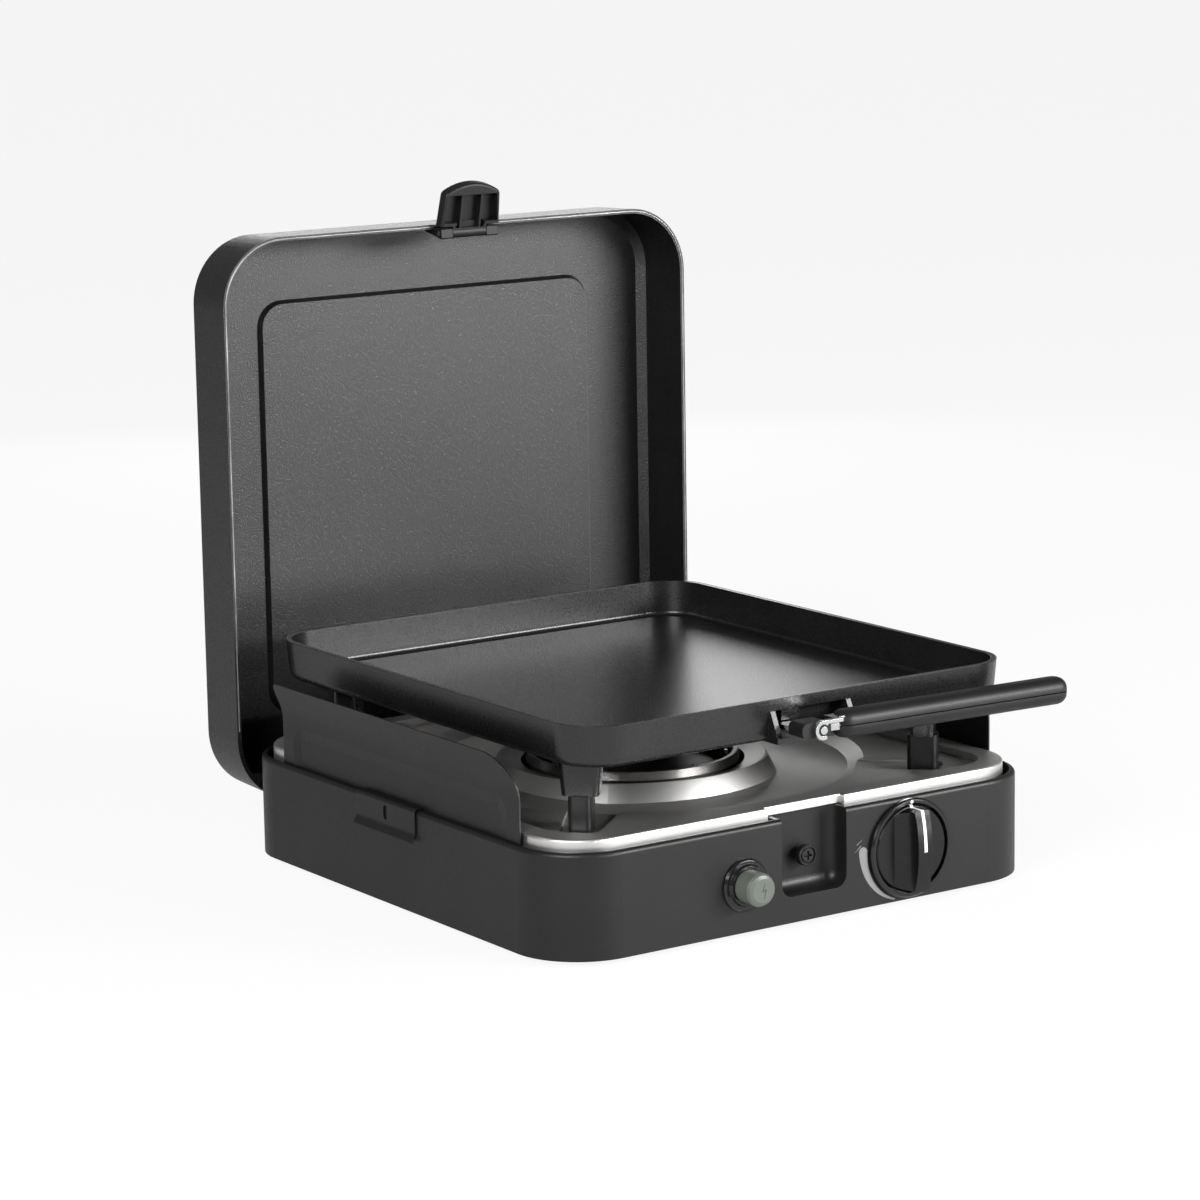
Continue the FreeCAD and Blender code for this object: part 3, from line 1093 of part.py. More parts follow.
part("inlet_nut", shared("inlet_nut_hex", nut, sixes))

probe = join("probe_join", rod("probe_rod", "probe_radius", "probe_top - probe_low - probe_radius",
                               probe_x, probe_y, "probe_low"),
             taper("probe_tip", "probe_radius", "probe_radius / 2", "probe_radius",
                   probe_x, probe_y, "probe_top - probe_radius"))
part("thermocouple", probe)
spark = join("spark_join", rod("spark_rod", "probe_radius", "hob_seat + spark_step - probe_low",
                               spark_x, spark_y, "probe_low"),
             rod("spark_wire", "probe_radius / 2", "probe_top - hob_seat - spark_step",
                 spark_x, spark_y, "hob_seat + spark_step"))
part("electrode", spark)
lead_x, lead_y = num(probe_x), num(probe_y)
lead_low = num("tube_z - tube_radius - probe_radius * 2")
part("thermocouple_lead", bent_rod("thermocouple_lead_form", [
    (num("knob_x - %s - magnet_long" % half_valve), num(VALVE_BACK + " - magnet_in"),
     num("knob_z")),
    (num("front_x + recess_wide / 2 - probe_radius"), num(VALVE_BACK + " - magnet_in"),
     num("knob_z")),
    (num("front_x + recess_wide / 2 - probe_radius"), num("-probe_ring - tube_radius"), lead_low),
    (lead_x, lead_y, num("recess_low")), (lead_x, lead_y, num("probe_low"))],
    num("lead_radius"), num("lead_radius * 3")))

button_deep = "(shell_wall + button_push * 2)"
stem_end = "button_push + bezel_wall - stem_long"
button = turned("ignition_button_form", [
    ("0", stem_end), ("spindle_radius", stem_end),
    ("spindle_radius", "-shell_wall - bezel_out"), ("button_radius", "-shell_wall - bezel_out"),
    ("button_radius", "button_out - button_dome"),
    ("button_radius - button_dome / 3", "button_out - button_dome / 3"),
    ("button_radius - button_dome", "button_out"), ("0", "button_out")])
place(button, "button_x", FRONT, "button_z", OUT)
part("ignition_button", button)
bore = "(button_radius + pin_gap)"
collar = turned("button_bezel_form", [
    (bore, "-shell_wall"), ("collar_step - bezel_wall - 2 * pin_fit", "-shell_wall"),
    ("collar_step - bezel_wall - 2 * pin_fit", "0"), ("collar_radius", "0"),
    ("collar_radius", "collar_thick / 2"), ("collar_radius - collar_thick / 2", "collar_thick"),
    ("collar_step", "collar_thick"), ("collar_step - collar_rise / 2", "collar_thick + collar_rise"),
    (bore, "collar_thick + collar_rise")])
place(collar, "button_x", FRONT, "button_z", OUT)
part("button_bezel", collar)
piezo = turned("piezo_form", [
    (bore, "-shell_wall"), ("piezo_radius", "-shell_wall"), ("piezo_radius", "-piezo_body"),
    ("piezo_radius / 2", "-piezo_body"), ("piezo_radius / 2", "-piezo_long - shell_wall"),
    ("0", "-piezo_long - shell_wall"), ("0", "-piezo_body"),
    ("spindle_radius + pin_fit", "-stem_long"),
    ("spindle_radius + pin_fit", "-%s" % button_deep), (bore, "-%s" % button_deep)])
place(piezo, "button_x", FRONT, "button_z", OUT)
part("piezo_igniter", piezo)
piezo_end = num("piezo_long + shell_wall - base_deep / 2")
spark_u, spark_v = num(spark_x), num(spark_y)
part("igniter_lead", bent_rod("igniter_lead_form", [
    (num("button_x"), piezo_end, num("button_z")),
    (num("button_x"), num("-bowl_flange - collar_radius"), num("button_z")),
    (spark_u, spark_v, num("recess_low")), (spark_u, spark_v, num("probe_low"))],
    num("lead_radius"), num("lead_radius * 3")))

# Knob with its bezel. Local height is the distance out from the shell's front face.
disc_low = "(knob_out - knob_thick)"
disc = turned("knob_disc", [
    ("0", disc_low), ("knob_radius", disc_low), ("knob_radius", "knob_out - bezel_wall"),
    ("knob_radius - bezel_wall", "knob_out"), ("0", "knob_out")])
side_mid = "((bar_face + bar_foot) / 4)"
side_long = "sqrt((bar_foot / 2 - bar_face / 2) ^ 2 + bar_reach ^ 2)"
flank = "(sqrt(bar_flank ^ 2 - (%s / 2) ^ 2) / %s)" % (side_long, side_long)
bar = block("knob_bar", "-bar_foot / 2", "bar_foot / 2", "-bar_long / 2", "bar_long / 2",
            "knob_out - bezel_wall", "knob_out + bar_reach")
flanks = []
for side in (-1, 1):
    flanks.append(place(rod("knob_flank", "bar_flank", "2 * bar_long"),
                        "%d * (%s + %s * bar_reach)" % (side, side_mid, flank), "bar_long",
                        "knob_out + bar_reach / 2 + %s * (bar_foot - bar_face) / 2" % flank, OUT))
bow = "((bar_long / 2) ^ 2 / (2 * (bar_reach - bar_ends)) + (bar_reach - bar_ends) / 2)"
grip = shared("knob_grip", less("knob_bar_cut", bar, *flanks),
              rod("knob_bow", bow, "2 * bar_foot", "-bar_foot", "0",
                  "knob_out + bar_reach - " + bow, "x"),
              rod("knob_limit", "bar_long / 2", "knob_out + 2 * bar_reach"))
knob_whole = less("knob_cut", join("knob_join", disc, grip),
                  rod("knob_bore", "spindle_radius + pin_fit",
                      "spindle_out + knob_thick - knob_out + knob_push", "0", "0",
                      disc_low + " - knob_push"))
place(knob_whole, "knob_x", FRONT, "knob_z", OUT)
part("knob", knob_whole)
inner = "(knob_radius + bezel_gap)"
bezel = turned("knob_bezel_form", [
    ("spindle_hole", "-bezel_deep"), (inner + " + bezel_wall", "-bezel_deep"),
    (inner + " + bezel_wall", "0"), ("bezel_radius", "0"), ("bezel_radius", "bezel_out - bezel_wall"),
    ("bezel_radius - bezel_wall", "bezel_out"), (inner, "bezel_out"),
    (inner, "bezel_wall - bezel_deep"), ("spindle_hole", "bezel_wall - bezel_deep")])
place(bezel, "knob_x", FRONT, "knob_z", OUT)
part("knob_bezel", bezel)

# Rest posts, with a screw from below the hob and a pin that keeps the griddle in place.
DIAGONAL = {corner: math.degrees(math.atan2(corner[1] * num("post_y"), corner[0] * num("post_x")))
            for corner in CORNERS}


def on_corner(thing, corner, z):
    """Moves a piece made about the vertical axis onto a post's place, turned to it."""
    turn = Rotation(Vector(0, 0, 1), DIAGONAL[corner])
    return place(thing, "%d * post_x" % corner[0], "%d * post_y" % corner[1], z, turn)


posts = []
post_screws = []
for corner in CORNERS:
    pillar = body("post_pillar")
    feature(pillar, "Pad", rounded(sketch(pillar, "XY_Plane"), "post_long", "post_wide",
                                   "post_pin"), "post_tall")
    pillar_whole = less("post_cut", join("post_join", pillar, rod(
        "post_pin_rod", "post_pin", "post_tall + pin_tall")),
        rod("post_well", "screw_radius + pin_fit", "post_tall / 2"))
    posts.append(on_corner(pillar_whole, corner, CHANNEL))
    post_screws.append(screw("post_screw", "%d * post_x" % corner[0], "%d * post_y" % corner[1],
                             "(%s - hob_sheet)" % CHANNEL, "post_grip"))
part("rest_posts", group("rest_post_group", *posts))
part("post_screws", group("post_screw_group", *post_screws))

# Griddle tray with four legs and the handle socket in its front wall.
TRAY_TOP = "(%s + griddle_tall)" % TRAY_LOW
tray = body("griddle_tray")
feature(tray, "Pad", rounded(sketch(tray, "XY_Plane", TRAY_TOP), "griddle_wide", "griddle_deep",
                             "griddle_round", "0", "-griddle_back"), "griddle_tall", flip=True,
        lean="-griddle_lean")
dressed(tray, "Fillet", "griddle_edge", lambda e: flat_at(e, "Z", num(TRAY_LOW)))
feature(tray, "Pocket", rounded(sketch(tray, "XY_Plane", TRAY_TOP),
                                "griddle_wide - 2 * griddle_wall", "griddle_deep - 2 * griddle_wall",
                                "griddle_round - griddle_wall", "0", "-griddle_back"),
        "griddle_tall - griddle_floor + gutter_deep", lean="-griddle_lean")
gutter_z = "(%s + griddle_floor - gutter_deep)" % TRAY_LOW
dressed(tray, "Fillet", "griddle_edge - griddle_wall", lambda e: flat_at(e, "Z", num(gutter_z)))
inset = "(griddle_wall + griddle_tall * tan(griddle_lean * 1deg) + gutter_wide)"
feature(tray, "Pad", rounded(sketch(tray, "XY_Plane", gutter_z), "griddle_wide - 2 * " + inset,
                             "griddle_deep - 2 * " + inset, "griddle_round - gutter_wide",
                             "0", "-griddle_back"), "gutter_deep")
dressed(tray, "Chamfer", "gutter_edge",
        lambda e: flat_at(e, "Z", num(gutter_z + " + gutter_deep")))
RIM_Y = "(-griddle_back - griddle_deep / 2)"
SOCKET_LOW = "(%s + socket_low)" % TRAY_LOW
SOCKET_HIGH = "(%s + socket_high)" % TRAY_LOW
socket_back = "(%s + socket_deep)" % RIM_Y
left = "(front_x - socket_wide / 2)"
right = "(front_x + socket_wide / 2)"
boss = block("socket_boss", left + " - cheek_wide", right + " + cheek_wide",
             RIM_Y + " + cheek_wide", socket_back + " + cheek_wide", TRAY_LOW + " + griddle_floor / 2",
             SOCKET_HIGH + " + cheek_wide")
cheek_side = [(RIM_Y + " + cheek_wide * 2", TRAY_LOW), (RIM_Y + " - cheek_out", TRAY_LOW),
              (RIM_Y + " - cheek_out", SOCKET_LOW), (RIM_Y, SOCKET_HIGH),
              (RIM_Y + " + cheek_wide * 2", SOCKET_HIGH)]
cheek_bulk = prism("socket_bulk", "YZ_Plane", cheek_side, "socket_wide + 2 * cheek_wide",
                   left + " - cheek_wide")
pocket = block("socket_pocket", left, right, RIM_Y + " - 2 * cheek_out", socket_back, SOCKET_LOW,
               SOCKET_HIGH)
lug = block("socket_lug", "front_x + lug_x - lug_wide / 2", "front_x + lug_x + lug_wide / 2",
            RIM_Y + " + cheek_wide", socket_back + " + cheek_wide / 2",
            "pivot_z + tongue_thick / 2 + 2 * pin_gap",
            "pivot_z + tongue_thick / 2 + 2 * pin_gap + lug_tall")
legs = []
leg_pits = []
for corner in CORNERS:
    leg = body("griddle_leg")
    upper = rounded(sketch(leg, "XY_Plane", "leg_tall + griddle_floor / 2"), "leg_long", "leg_wide",
                    "leg_long / 4")
    lower = rounded(sketch(leg, "XY_Plane"), "leg_short", "leg_narrow", "leg_short / 4")
    doc.recompute()
    loft = leg.newObject("PartDesign::AdditiveLoft", "leg_loft")
    loft.Profile = upper
    loft.Sections = [lower]
    loft.Ruled = True
    for flat in (upper, lower):
        flat.Visibility = False
    doc.recompute()
    legs.append(on_corner(leg, corner, TRAY_LOW + " - leg_tall"))
    leg_pits.append(rod("leg_pit", "post_pin + pin_gap", "pin_tall + pin_gap",
                        "%d * post_x" % corner[0], "%d * post_y" % corner[1],
                        TRAY_LOW + " - leg_tall"))
open_tray = less("griddle_open", join("griddle_join", tray, boss, cheek_bulk, *legs), pocket,
                 *leg_pits)
part("griddle", join("griddle_whole", open_tray, lug))

# Handle, made about its pivot and then set in place, tilted.
TILT = Rotation(Vector(0, 1, 0), -num("handle_tilt"))


def on_pivot(thing):
    return place(group("handle_set", thing), "pivot_x", "pivot_y", "pivot_z", TILT)


head_block = body("handle_head_block")
feature(head_block, "Pad", rounded(sketch(head_block, "XZ_Plane", "head_front"),
                                   "head_left + head_right", "2 * head_half", "head_round",
                                   "(head_right - head_left) / 2"), "head_front + head_back",
        flip=True)
slit = block("head_slit", "bar_start", "2 * head_right", "-bar_wide / 2", "bar_wide / 2",
             "bar_low", "bar_high")
head = less("head_cut", join("head_join", head_block, rod(
    "head_boss", "hook_boss", "hook_thick + head_front", "0", "-head_front - hook_thick", "0", "y")),
    slit, rod("head_bore", "handle_pin", "4 * head_front", "0", "-2 * head_front", "0", "y"))
part("handle_head", on_pivot(head))
part("handle_pin", on_pivot(rod("handle_pin_rod", "handle_pin", "head_front + head_back + hook_thick + "
                                "arm_thick / 4", "0", "-head_front - hook_thick - arm_thick / 4",
                                "0", "y")))
bar_piece = less("bar_cut", block("bar_block", "bar_start", "arm_long", "-bar_wide / 2",
                                  "bar_wide / 2", "bar_low", "bar_high"),
                 rod("bar_bore", "handle_pin", "bar_wide * 2", "0", "-bar_wide", "0", "y"))
part("handle_bar", on_pivot(bar_piece))
part("handle_tongue", on_pivot(block("tongue", "-tongue_wide - pin_gap", "-pin_gap", "head_back",
                                     "head_back + tongue_long", "-tongue_thick / 2",
                                     "tongue_thick / 2")))
hook_ring = less("hook_ring", rod("hook_disc", "hook_outer", "hook_thick", "0",
                                  "-head_front - hook_thick", "0", "y"),
                 rod("hook_hole", "hook_inner", "hook_thick * 3", "0",
                     "-head_front - 2 * hook_thick", "0", "y"),
                 prism("hook_mouth", "XZ_Plane", [
                     ("0", "0"), ("mouth_right", "-mouth_low"),
                     ("2 * hook_outer", "-hook_outer"), ("2 * hook_outer", "hook_inner"),
                     ("hook_inner", "hook_inner")], "3 * hook_thick", "head_front - hook_thick"))
arm_low = "(hook_outer - arm_thick)"
plate_end = "(grip_start - pin_gap)"
hook_arm = block("hook_arm", "0", plate_end, "-head_front - hook_thick", "-head_front",
                 arm_low, "hook_outer")
heel = block("lever_heel", "(head_right + head_front / 3)", plate_end, "-head_front - hook_thick",
             "hook_thick", arm_low, "hook_outer")
arm = block("lever_arm", "(head_right + head_front / 3)", "arm_long", "1 - head_front", "hook_thick",
            arm_low, "hook_outer")
lever = join("lever_join", hook_ring, hook_arm, heel, arm)
part("lock_lever", on_pivot(lever))


def grip_half(name, low, high):
    """One half of the grip: a bar with round ends cut by a flat top or bottom."""
    whole = body(name)
    face = "(grip_half + grip_seam / 2)"
    feature(whole, "Pad", rounded(sketch(whole, "XY_Plane", "-" + face), "grip_end - grip_start",
                                  "grip_wide", "grip_wide / 2 - pin_fit",
                                  "(grip_end + grip_start) / 2"), "2 * " + face)
    dressed(whole, "Fillet", "grip_round", lambda e: flat_at(e, "Z", num(face))
            or flat_at(e, "Z", -num(face)))
    window = block(name + "_window", "grip_start - grip_wide", "grip_end + grip_wide", "-grip_wide",
                   "grip_wide", low, high)
    return shared(name + "_form", whole, window)


arm_room = block("arm_room", "head_right", "arm_long", "1 - head_front", "hook_thick", arm_low,
                 "hook_outer")
bar_room = block("bar_room", "head_right", "arm_long + pin_gap", "-bar_wide / 2 - pin_gap",
                 "bar_wide / 2 + pin_gap", "-bar_wide", "bar_high + pin_gap")
part("upper_grip", on_pivot(less("upper_grip_cut", grip_half(
    "upper_half", "grip_seam / 2", "2 * grip_half"), arm_room, bar_room)))
part("lower_grip", on_pivot(less("lower_grip_cut", grip_half(
    "lower_half", "-2 * grip_half", "-grip_seam / 2"), block(
        "bar_seat", "head_right", "arm_long", "-bar_wide / 2", "bar_wide / 2", "bar_low",
        "bar_high"))))

# Side windshields and the clips that hang them on the shell.
WINDOWS = (("right", 1), ("left", -1))
TOP_GAP = "(%s + clip_gap)" % SHELL_TOP
half = "(shield_sheet / 2)"
rivet_z = "(leg_low + 2 * rivet_radius)"
rivet_y = ["clip_y - clip_long / 3", "clip_y + clip_long / 3"]
panel_low = "(shield_low + shield_flare)"


def lofted(name, near, far):
    """A body between two sketches on parallel planes, made by the two functions."""
    form = body(name)
    first = near(form)
    last = far(form)
    doc.recompute()
    loft = form.newObject("PartDesign::AdditiveLoft", name + "_loft")
    loft.Profile = first
    loft.Sections = [last]
    loft.Ruled = True
    for flat in (first, last):
        flat.Visibility = False
    doc.recompute()
    return form


def pressed(name, side, at):
    """What the windshield's panel is pressed into, its borders sloping inwards."""
    def ring_at(depth, border):
        def draw(form):
            flat = sketch(form, "YZ_Plane", "%d * (%s - (%s))" % (side, at, depth))
            return rounded(flat, "shield_long - 2 * shield_panel - 2 * (%s)" % border,
                           "panel_high - %s - 2 * (%s)" % (panel_low, border),
                           "shield_panel - (%s)" % border, "shield_y",
                           "(panel_high + %s) / 2" % panel_low)
        return draw
    return lofted(name, ring_at("0", "0"), ring_at("panel_press", "panel_border"))


def seat(name, side, at, long, flip):
    """A flat round the clip's rivets, padded from a distance from the middle."""
    form = body(name)
    feature(form, "Pad", rounded(
        sketch(form, "YZ_Plane", "%d * (%s)" % (side, at)), "clip_long + 2 * rivet_radius",
        "2 * (%s - shield_low) - clip_gap" % rivet_z, "rivet_radius", "clip_y", rivet_z), long,
        flip=flip)
    return form


for word, side in WINDOWS:
    lean_x = "(shield_x + shield_flare)"
    line = [("shield_x - " + half, "shield_low"), ("shield_x + " + half, "shield_low"),
            ("shield_x + " + half, "shield_bend"), (lean_x + " + " + half, "shield_high"),
            (lean_x + " - " + half, "shield_high"), ("shield_x - " + half, "shield_bend")]
    line = [("%d * (%s)" % (side, u), v) for u, v in line]
    strip = prism("shield_strip", "XZ_Plane", line, "shield_long", "-shield_y", middle=True)
    dressed(strip, "Fillet", "shield_bow", lambda e: flat_at(e, "Z", num("shield_bend"))
            and e.BoundBox.YLength > 1)
    faces = []
    for way, radius in ((1, "shield_round"), (-1, "shield_heel")):
        face = body("shield_face")
        feature(face, "Pad", rounded(
            sketch(face, "YZ_Plane", "%d * shield_x" % side), "shield_long + " + radius,
            "shield_high - shield_low + 2 * " + radius, radius,
            "shield_y + %d * %s / 2" % (way, radius),
            "(shield_high + shield_low) / 2 - " + radius), "4 * shield_flare", middle=True)
        faces.append(face)
    dent = pressed("shield_dent", side, "shield_x + " + half)
    bump = pressed("shield_bump", side, "shield_x - " + half)
    pad = seat("shield_pad", side, "shield_x - " + half, "shield_sheet", side < 0)
    relief = seat("shield_relief", side, "shield_x - %s - 2 * panel_press" % half,
                  "2 * panel_press", side < 0)
    sheet_form = less("shield_less", shared("shield_common", strip, *faces), dent)
    raised = less("shield_raised", bump, relief)
    joined = join("shield_join", sheet_form, raised, pad)
    bores = [rod("shield_bore", "rivet_radius / 2", "4 * rivet_radius",
                 "%d * shield_x - 2 * rivet_radius" % side, y, rivet_z, "x") for y in rivet_y]
    part("windshield_" + word, less("shield_" + word, joined, *bores))
    near = "(shield_x + %s)" % half
    out = "(base_wide / 2 + clip_gap)"
    knee = "(clip_low + clip_lip)"
    top = "(%s + clip_sheet)" % TOP_GAP
    loop = [(near, "leg_low"), (near, top), (out + " + clip_sheet", top),
            (out + " + clip_sheet", knee), (out + " + clip_flare + clip_sheet", "clip_low"),
            (out + " + clip_flare", "clip_low"), (out, knee), (out, TOP_GAP),
            (near + " + clip_sheet", TOP_GAP), (near + " + clip_sheet", "leg_low")]
    loop = [("%d * (%s)" % (side, u), v) for u, v in loop]
    clip = prism("clip_strip", "XZ_Plane", loop, "clip_long", "-clip_y", middle=True)
    for x, z, bend in ((out + " + clip_sheet", top, "clip_bend"),
                       (out, TOP_GAP, "clip_bend - clip_sheet"), (out + " + clip_sheet", knee, "clip_lip"),
                       (out, knee, "clip_lip")):
        dressed(clip, "Fillet", bend, lambda e: e.BoundBox.YLength > num("clip_long") - 1
                and flat_at(e, "Z", num(z)) and flat_at(e, "X", side * num(x)))
    slot = body("clip_slot")
    feature(slot, "Pad", rounded(sketch(slot, "YZ_Plane", "%d * %s" % (side, out)), "slot_wide",
                                 "slot_tall", "slot_wide / 2 - pin_fit", "clip_y",
                                 "(%s + %s) / 2" % (knee, TOP_GAP)), "3 * clip_sheet", middle=True)
    part("clip_" + word, less("clip_cut_" + word, clip, slot, *[
        rod("clip_bore", "rivet_radius / 2", "4 * rivet_radius",
            "%d * shield_x - 2 * rivet_radius" % side, y, rivet_z, "x") for y in rivet_y]))
    rivets = []
    for y in rivet_y:
        inside = "(shield_x - %s)" % half
        head = "(rivet_radius / 3)"
        bits = []
        for radius, start, end in (("rivet_radius / 2", inside, near + " + clip_sheet"),
                                   ("rivet_radius", "%s - %s" % (inside, head), inside)):
            x = start if side > 0 else "-(%s)" % end
            bits.append(rod("rivet_bit", radius, "(%s) - (%s)" % (end, start), x, y, rivet_z, "x"))
        rivets.append(join("rivet", *bits))
    part("clip_rivets_" + word, group("clip_rivet_group_" + word, *rivets))

# Lid: an outer tray less an inner one, both with the pressed panel in their backs.
DRAFT = "(lid_wall / cos(lid_lean * 1deg))"
FOOT = "(panel_rise * tan(panel_lean * 1deg))"
SKIN = "(lid_wall * tan(panel_lean * 1deg) - lid_wall / cos(panel_lean * 1deg))"
LID_BACK = "(%s + lid_tall)" % LID_RIM
outer_lid = body("lid_outer")
feature(outer_lid, "Pad", rounded(sketch(outer_lid, "XZ_Plane", "-" + LID_RIM), "lid_wide",
                                  "lid_deep", "lid_round", "0", "lid_mid"), "lid_tall", flip=True,
        lean="-lid_lean")
dressed(outer_lid, "Chamfer", "lid_edge", lambda e: flat_at(e, "Y", num(LID_BACK)))
feature(outer_lid, "Pocket", rounded(sketch(outer_lid, "XZ_Plane", "-" + LID_BACK),
                                     "panel_wide + 2 * %s + 2 * %s" % (FOOT, SKIN),
                                     "panel_deep + 2 * %s + 2 * %s" % (FOOT, SKIN),
                                     "panel_round + %s" % FOOT, "0", "lid_mid"), "panel_rise",
        flip=True, lean="-panel_lean")
inner_lid = body("lid_inner")
feature(inner_lid, "Pad", rounded(sketch(inner_lid, "XZ_Plane", "-" + LID_RIM),
                                  "lid_wide - 2 * " + DRAFT, "lid_deep - 2 * " + DRAFT,
                                  "lid_round - " + DRAFT, "0", "lid_mid"), "lid_tall - lid_wall",
        flip=True, lean="-lid_lean")
inner_back = "(%s - lid_wall)" % LID_BACK
dressed(inner_lid, "Chamfer", "lid_edge - (2 - sqrt(2)) * lid_wall",
        lambda e: flat_at(e, "Y", num(inner_back)))
feature(inner_lid, "Pocket", rounded(sketch(inner_lid, "XZ_Plane", "-" + inner_back),
                                     "panel_wide + 2 * " + FOOT, "panel_deep + 2 * " + FOOT,
                                     "panel_round + " + FOOT, "0", "lid_mid"), "panel_rise",
        flip=True, lean="-panel_lean")
bead = body("lid_bead")
bead_sketch = sketch(bead, "XZ_Plane", "-" + LID_RIM)
rounded(bead_sketch, "lid_wide - lid_wall", "lid_deep - lid_wall", "lid_round - lid_wall / 2", "0",
        "lid_mid")
rounded(bead_sketch, "lid_wide - 2 * %s - 2 * bead_wide" % DRAFT,
        "lid_deep - 2 * %s - 2 * bead_wide" % DRAFT, "lid_round - %s - bead_wide" % DRAFT, "0",
        "lid_mid")
feature(bead, "Pad", bead_sketch, "bead_tall", flip=True)
WALL_LOW = "(lid_mid - lid_deep / 2 + %s)" % DRAFT
WALL_HIGH = "(lid_mid + lid_deep / 2 - %s)" % DRAFT
notches = []
for side in (-1, 1):
    notches.append(block("bead_notch", "%d * strap_x - strap_wide / 2 - pin_gap" % side,
                         "%d * strap_x + strap_wide / 2 + pin_gap" % side, LID_RIM + " - lid_wall",
                         LID_RIM + " + lid_gap + bead_tall", WALL_LOW, WALL_LOW + " + 4 * bead_wide"))
half_bracket = "(barrel_wide / 2 + ear_gap + ear_wide)"
notches.append(block("bead_notch_top", "front_x - %s - pin_gap" % half_bracket,
                     "front_x + %s + pin_gap" % half_bracket, LID_RIM + " - lid_wall",
                     LID_RIM + " + lid_gap + bead_tall", WALL_HIGH + " - 4 * bead_wide", WALL_HIGH))
lid_shell = less("lid_shell", outer_lid, inner_lid)
trimmed_bead = less("lid_bead_cut", bead, *notches)
DROP = "tan(lid_lean * 1deg)"
arm_y = [LID_RIM + " + arm_screw_out", LID_RIM + " + arm_screw_in"]
latch_rivet_y = "(%s + bracket_deep / 2)" % LID_RIM
latch_rivet_x = ["front_x - barrel_wide / 4", "front_x + barrel_wide / 4"]
lid_bores = []
for side in (-1, 1):
    for y in arm_y:
        lid_bores.append(rod("lid_bore", "screw_radius", "6 * lid_wall", "%d * strap_x" % side, y,
                             WALL_LOW + " - 3 * lid_wall"))
for x in latch_rivet_x:
    lid_bores.append(rod("lid_bore", "rivet_shank", "8 * lid_wall", x, latch_rivet_y,
                         WALL_HIGH + " - 4 * lid_wall"))
part("lid", less("lid_cut", join("lid_join", lid_shell, trimmed_bead), *lid_bores))

# Hinge: straps on the lid's lower wall, brackets on the bottom plate, pins.
rise = "(strap_long * %s)" % DROP
seat = "(%s + strap_seat)" % WALL_LOW
mid_strap = "(strap_thick / 2)"
brackets = []
pins = []
arm_screws = []
for word, side in (("left", -1), ("right", 1)):
    x0 = "(%d * strap_x - strap_wide / 2)" % side
    strap_line = [("%s + strap_long" % LID_RIM, "%s + %s" % (seat, rise)),
                  ("%s + strap_long" % LID_RIM, "%s + %s + strap_thick" % (seat, rise)),
                  (LID_RIM, seat + " + strap_thick"),
                  ("%s + %s" % (HINGE_Y, mid_strap), seat + " + strap_thick"),
                  ("%s + %s" % (HINGE_Y, mid_strap), HINGE_Z),
                  ("%s - %s" % (HINGE_Y, mid_strap), HINGE_Z),
                  ("%s - %s" % (HINGE_Y, mid_strap), seat), (LID_RIM, seat)]
    strap = prism("strap", "YZ_Plane", strap_line, "strap_wide", x0)
    dressed(strap, "Fillet", "strap_thick", lambda e: flat_at(
        e, "Y", num("%s - %s" % (HINGE_Y, mid_strap))) and flat_at(e, "Z", num(seat)))
    eye = rod("strap_eye_rod", "strap_eye", "strap_wide", x0, HINGE_Y, HINGE_Z, "x")
    eye_bore = rod("strap_eye_bore", "hinge_pin + pin_fit", "3 * strap_wide", x0 + " - strap_wide",
                   HINGE_Y, HINGE_Z, "x")
    arm_holes = [rod("strap_hole", "screw_radius", "8 * strap_thick", "%d * strap_x" % side, y,
                     seat + " - 2 * strap_thick") for y in arm_y]
    part("hinge_arm_" + word, less("hinge_arm_cut_" + word, join("hinge_arm_join", strap, eye),
                                   eye_bore, *arm_holes))
    for y in arm_y:
        top = "%s + strap_thick + ((%s) - %s) * %s + screw_head * %s" % (seat, y, LID_RIM, DROP, DROP)
        arm_screws.append(join(
            "arm_screw", rod("arm_head", "screw_head", "head_thick", "%d * strap_x" % side, y, top),
            rod("arm_shank", "screw_radius", "strap_thick + lid_wall - shank_short",
                "%d * strap_x" % side, y, "%s - strap_thick - lid_wall + shank_short" % top)))
    cheek_x = ["%s - cheek_gap - cheek_thick" % x0, x0 + " + strap_wide + cheek_gap"]
    cheek_line = [("%s - 2 * strap_eye" % HINGE_Y, PLATE_TOP),
                  ("%s + cheek_end" % HINGE_Y, PLATE_TOP),
                  ("%s + strap_eye" % HINGE_Y, HINGE_Z),
                  ("%s + strap_eye / 2" % HINGE_Y, HINGE_Z + " + cheek_high"),
                  ("%s - strap_eye / 2" % HINGE_Y, HINGE_Z + " + cheek_high"),
                  ("%s - strap_eye" % HINGE_Y, HINGE_Z)]
    cheeks = [prism("bracket_cheek", "YZ_Plane", cheek_line, "cheek_thick", x) for x in cheek_x]
    web = block("bracket_base", cheek_x[0], cheek_x[1] + " + cheek_thick", "%s - 2 * strap_eye" % HINGE_Y,
                "%s + cheek_end" % HINGE_Y, PLATE_TOP, PLATE_TOP + " + cheek_thick")
    brackets.append(less("bracket_cut", join("bracket_whole", web, *cheeks),
                         rod("bracket_bore", "hinge_pin", "3 * strap_wide", x0 + " - strap_wide",
                             HINGE_Y, HINGE_Z, "x")))
    pins.append(rod("hinge_pin_rod", "hinge_pin", "strap_wide + 2 * cheek_gap + 2 * cheek_thick + "
                    "2 * cheek_gap", "%s - 2 * cheek_gap - cheek_thick" % x0, HINGE_Y, HINGE_Z, "x"))
part("hinge_brackets", group("hinge_bracket_group", *brackets))
part("hinge_pins", group("hinge_pin_group", *pins))
part("arm_screws", group("arm_screw_group", *arm_screws))

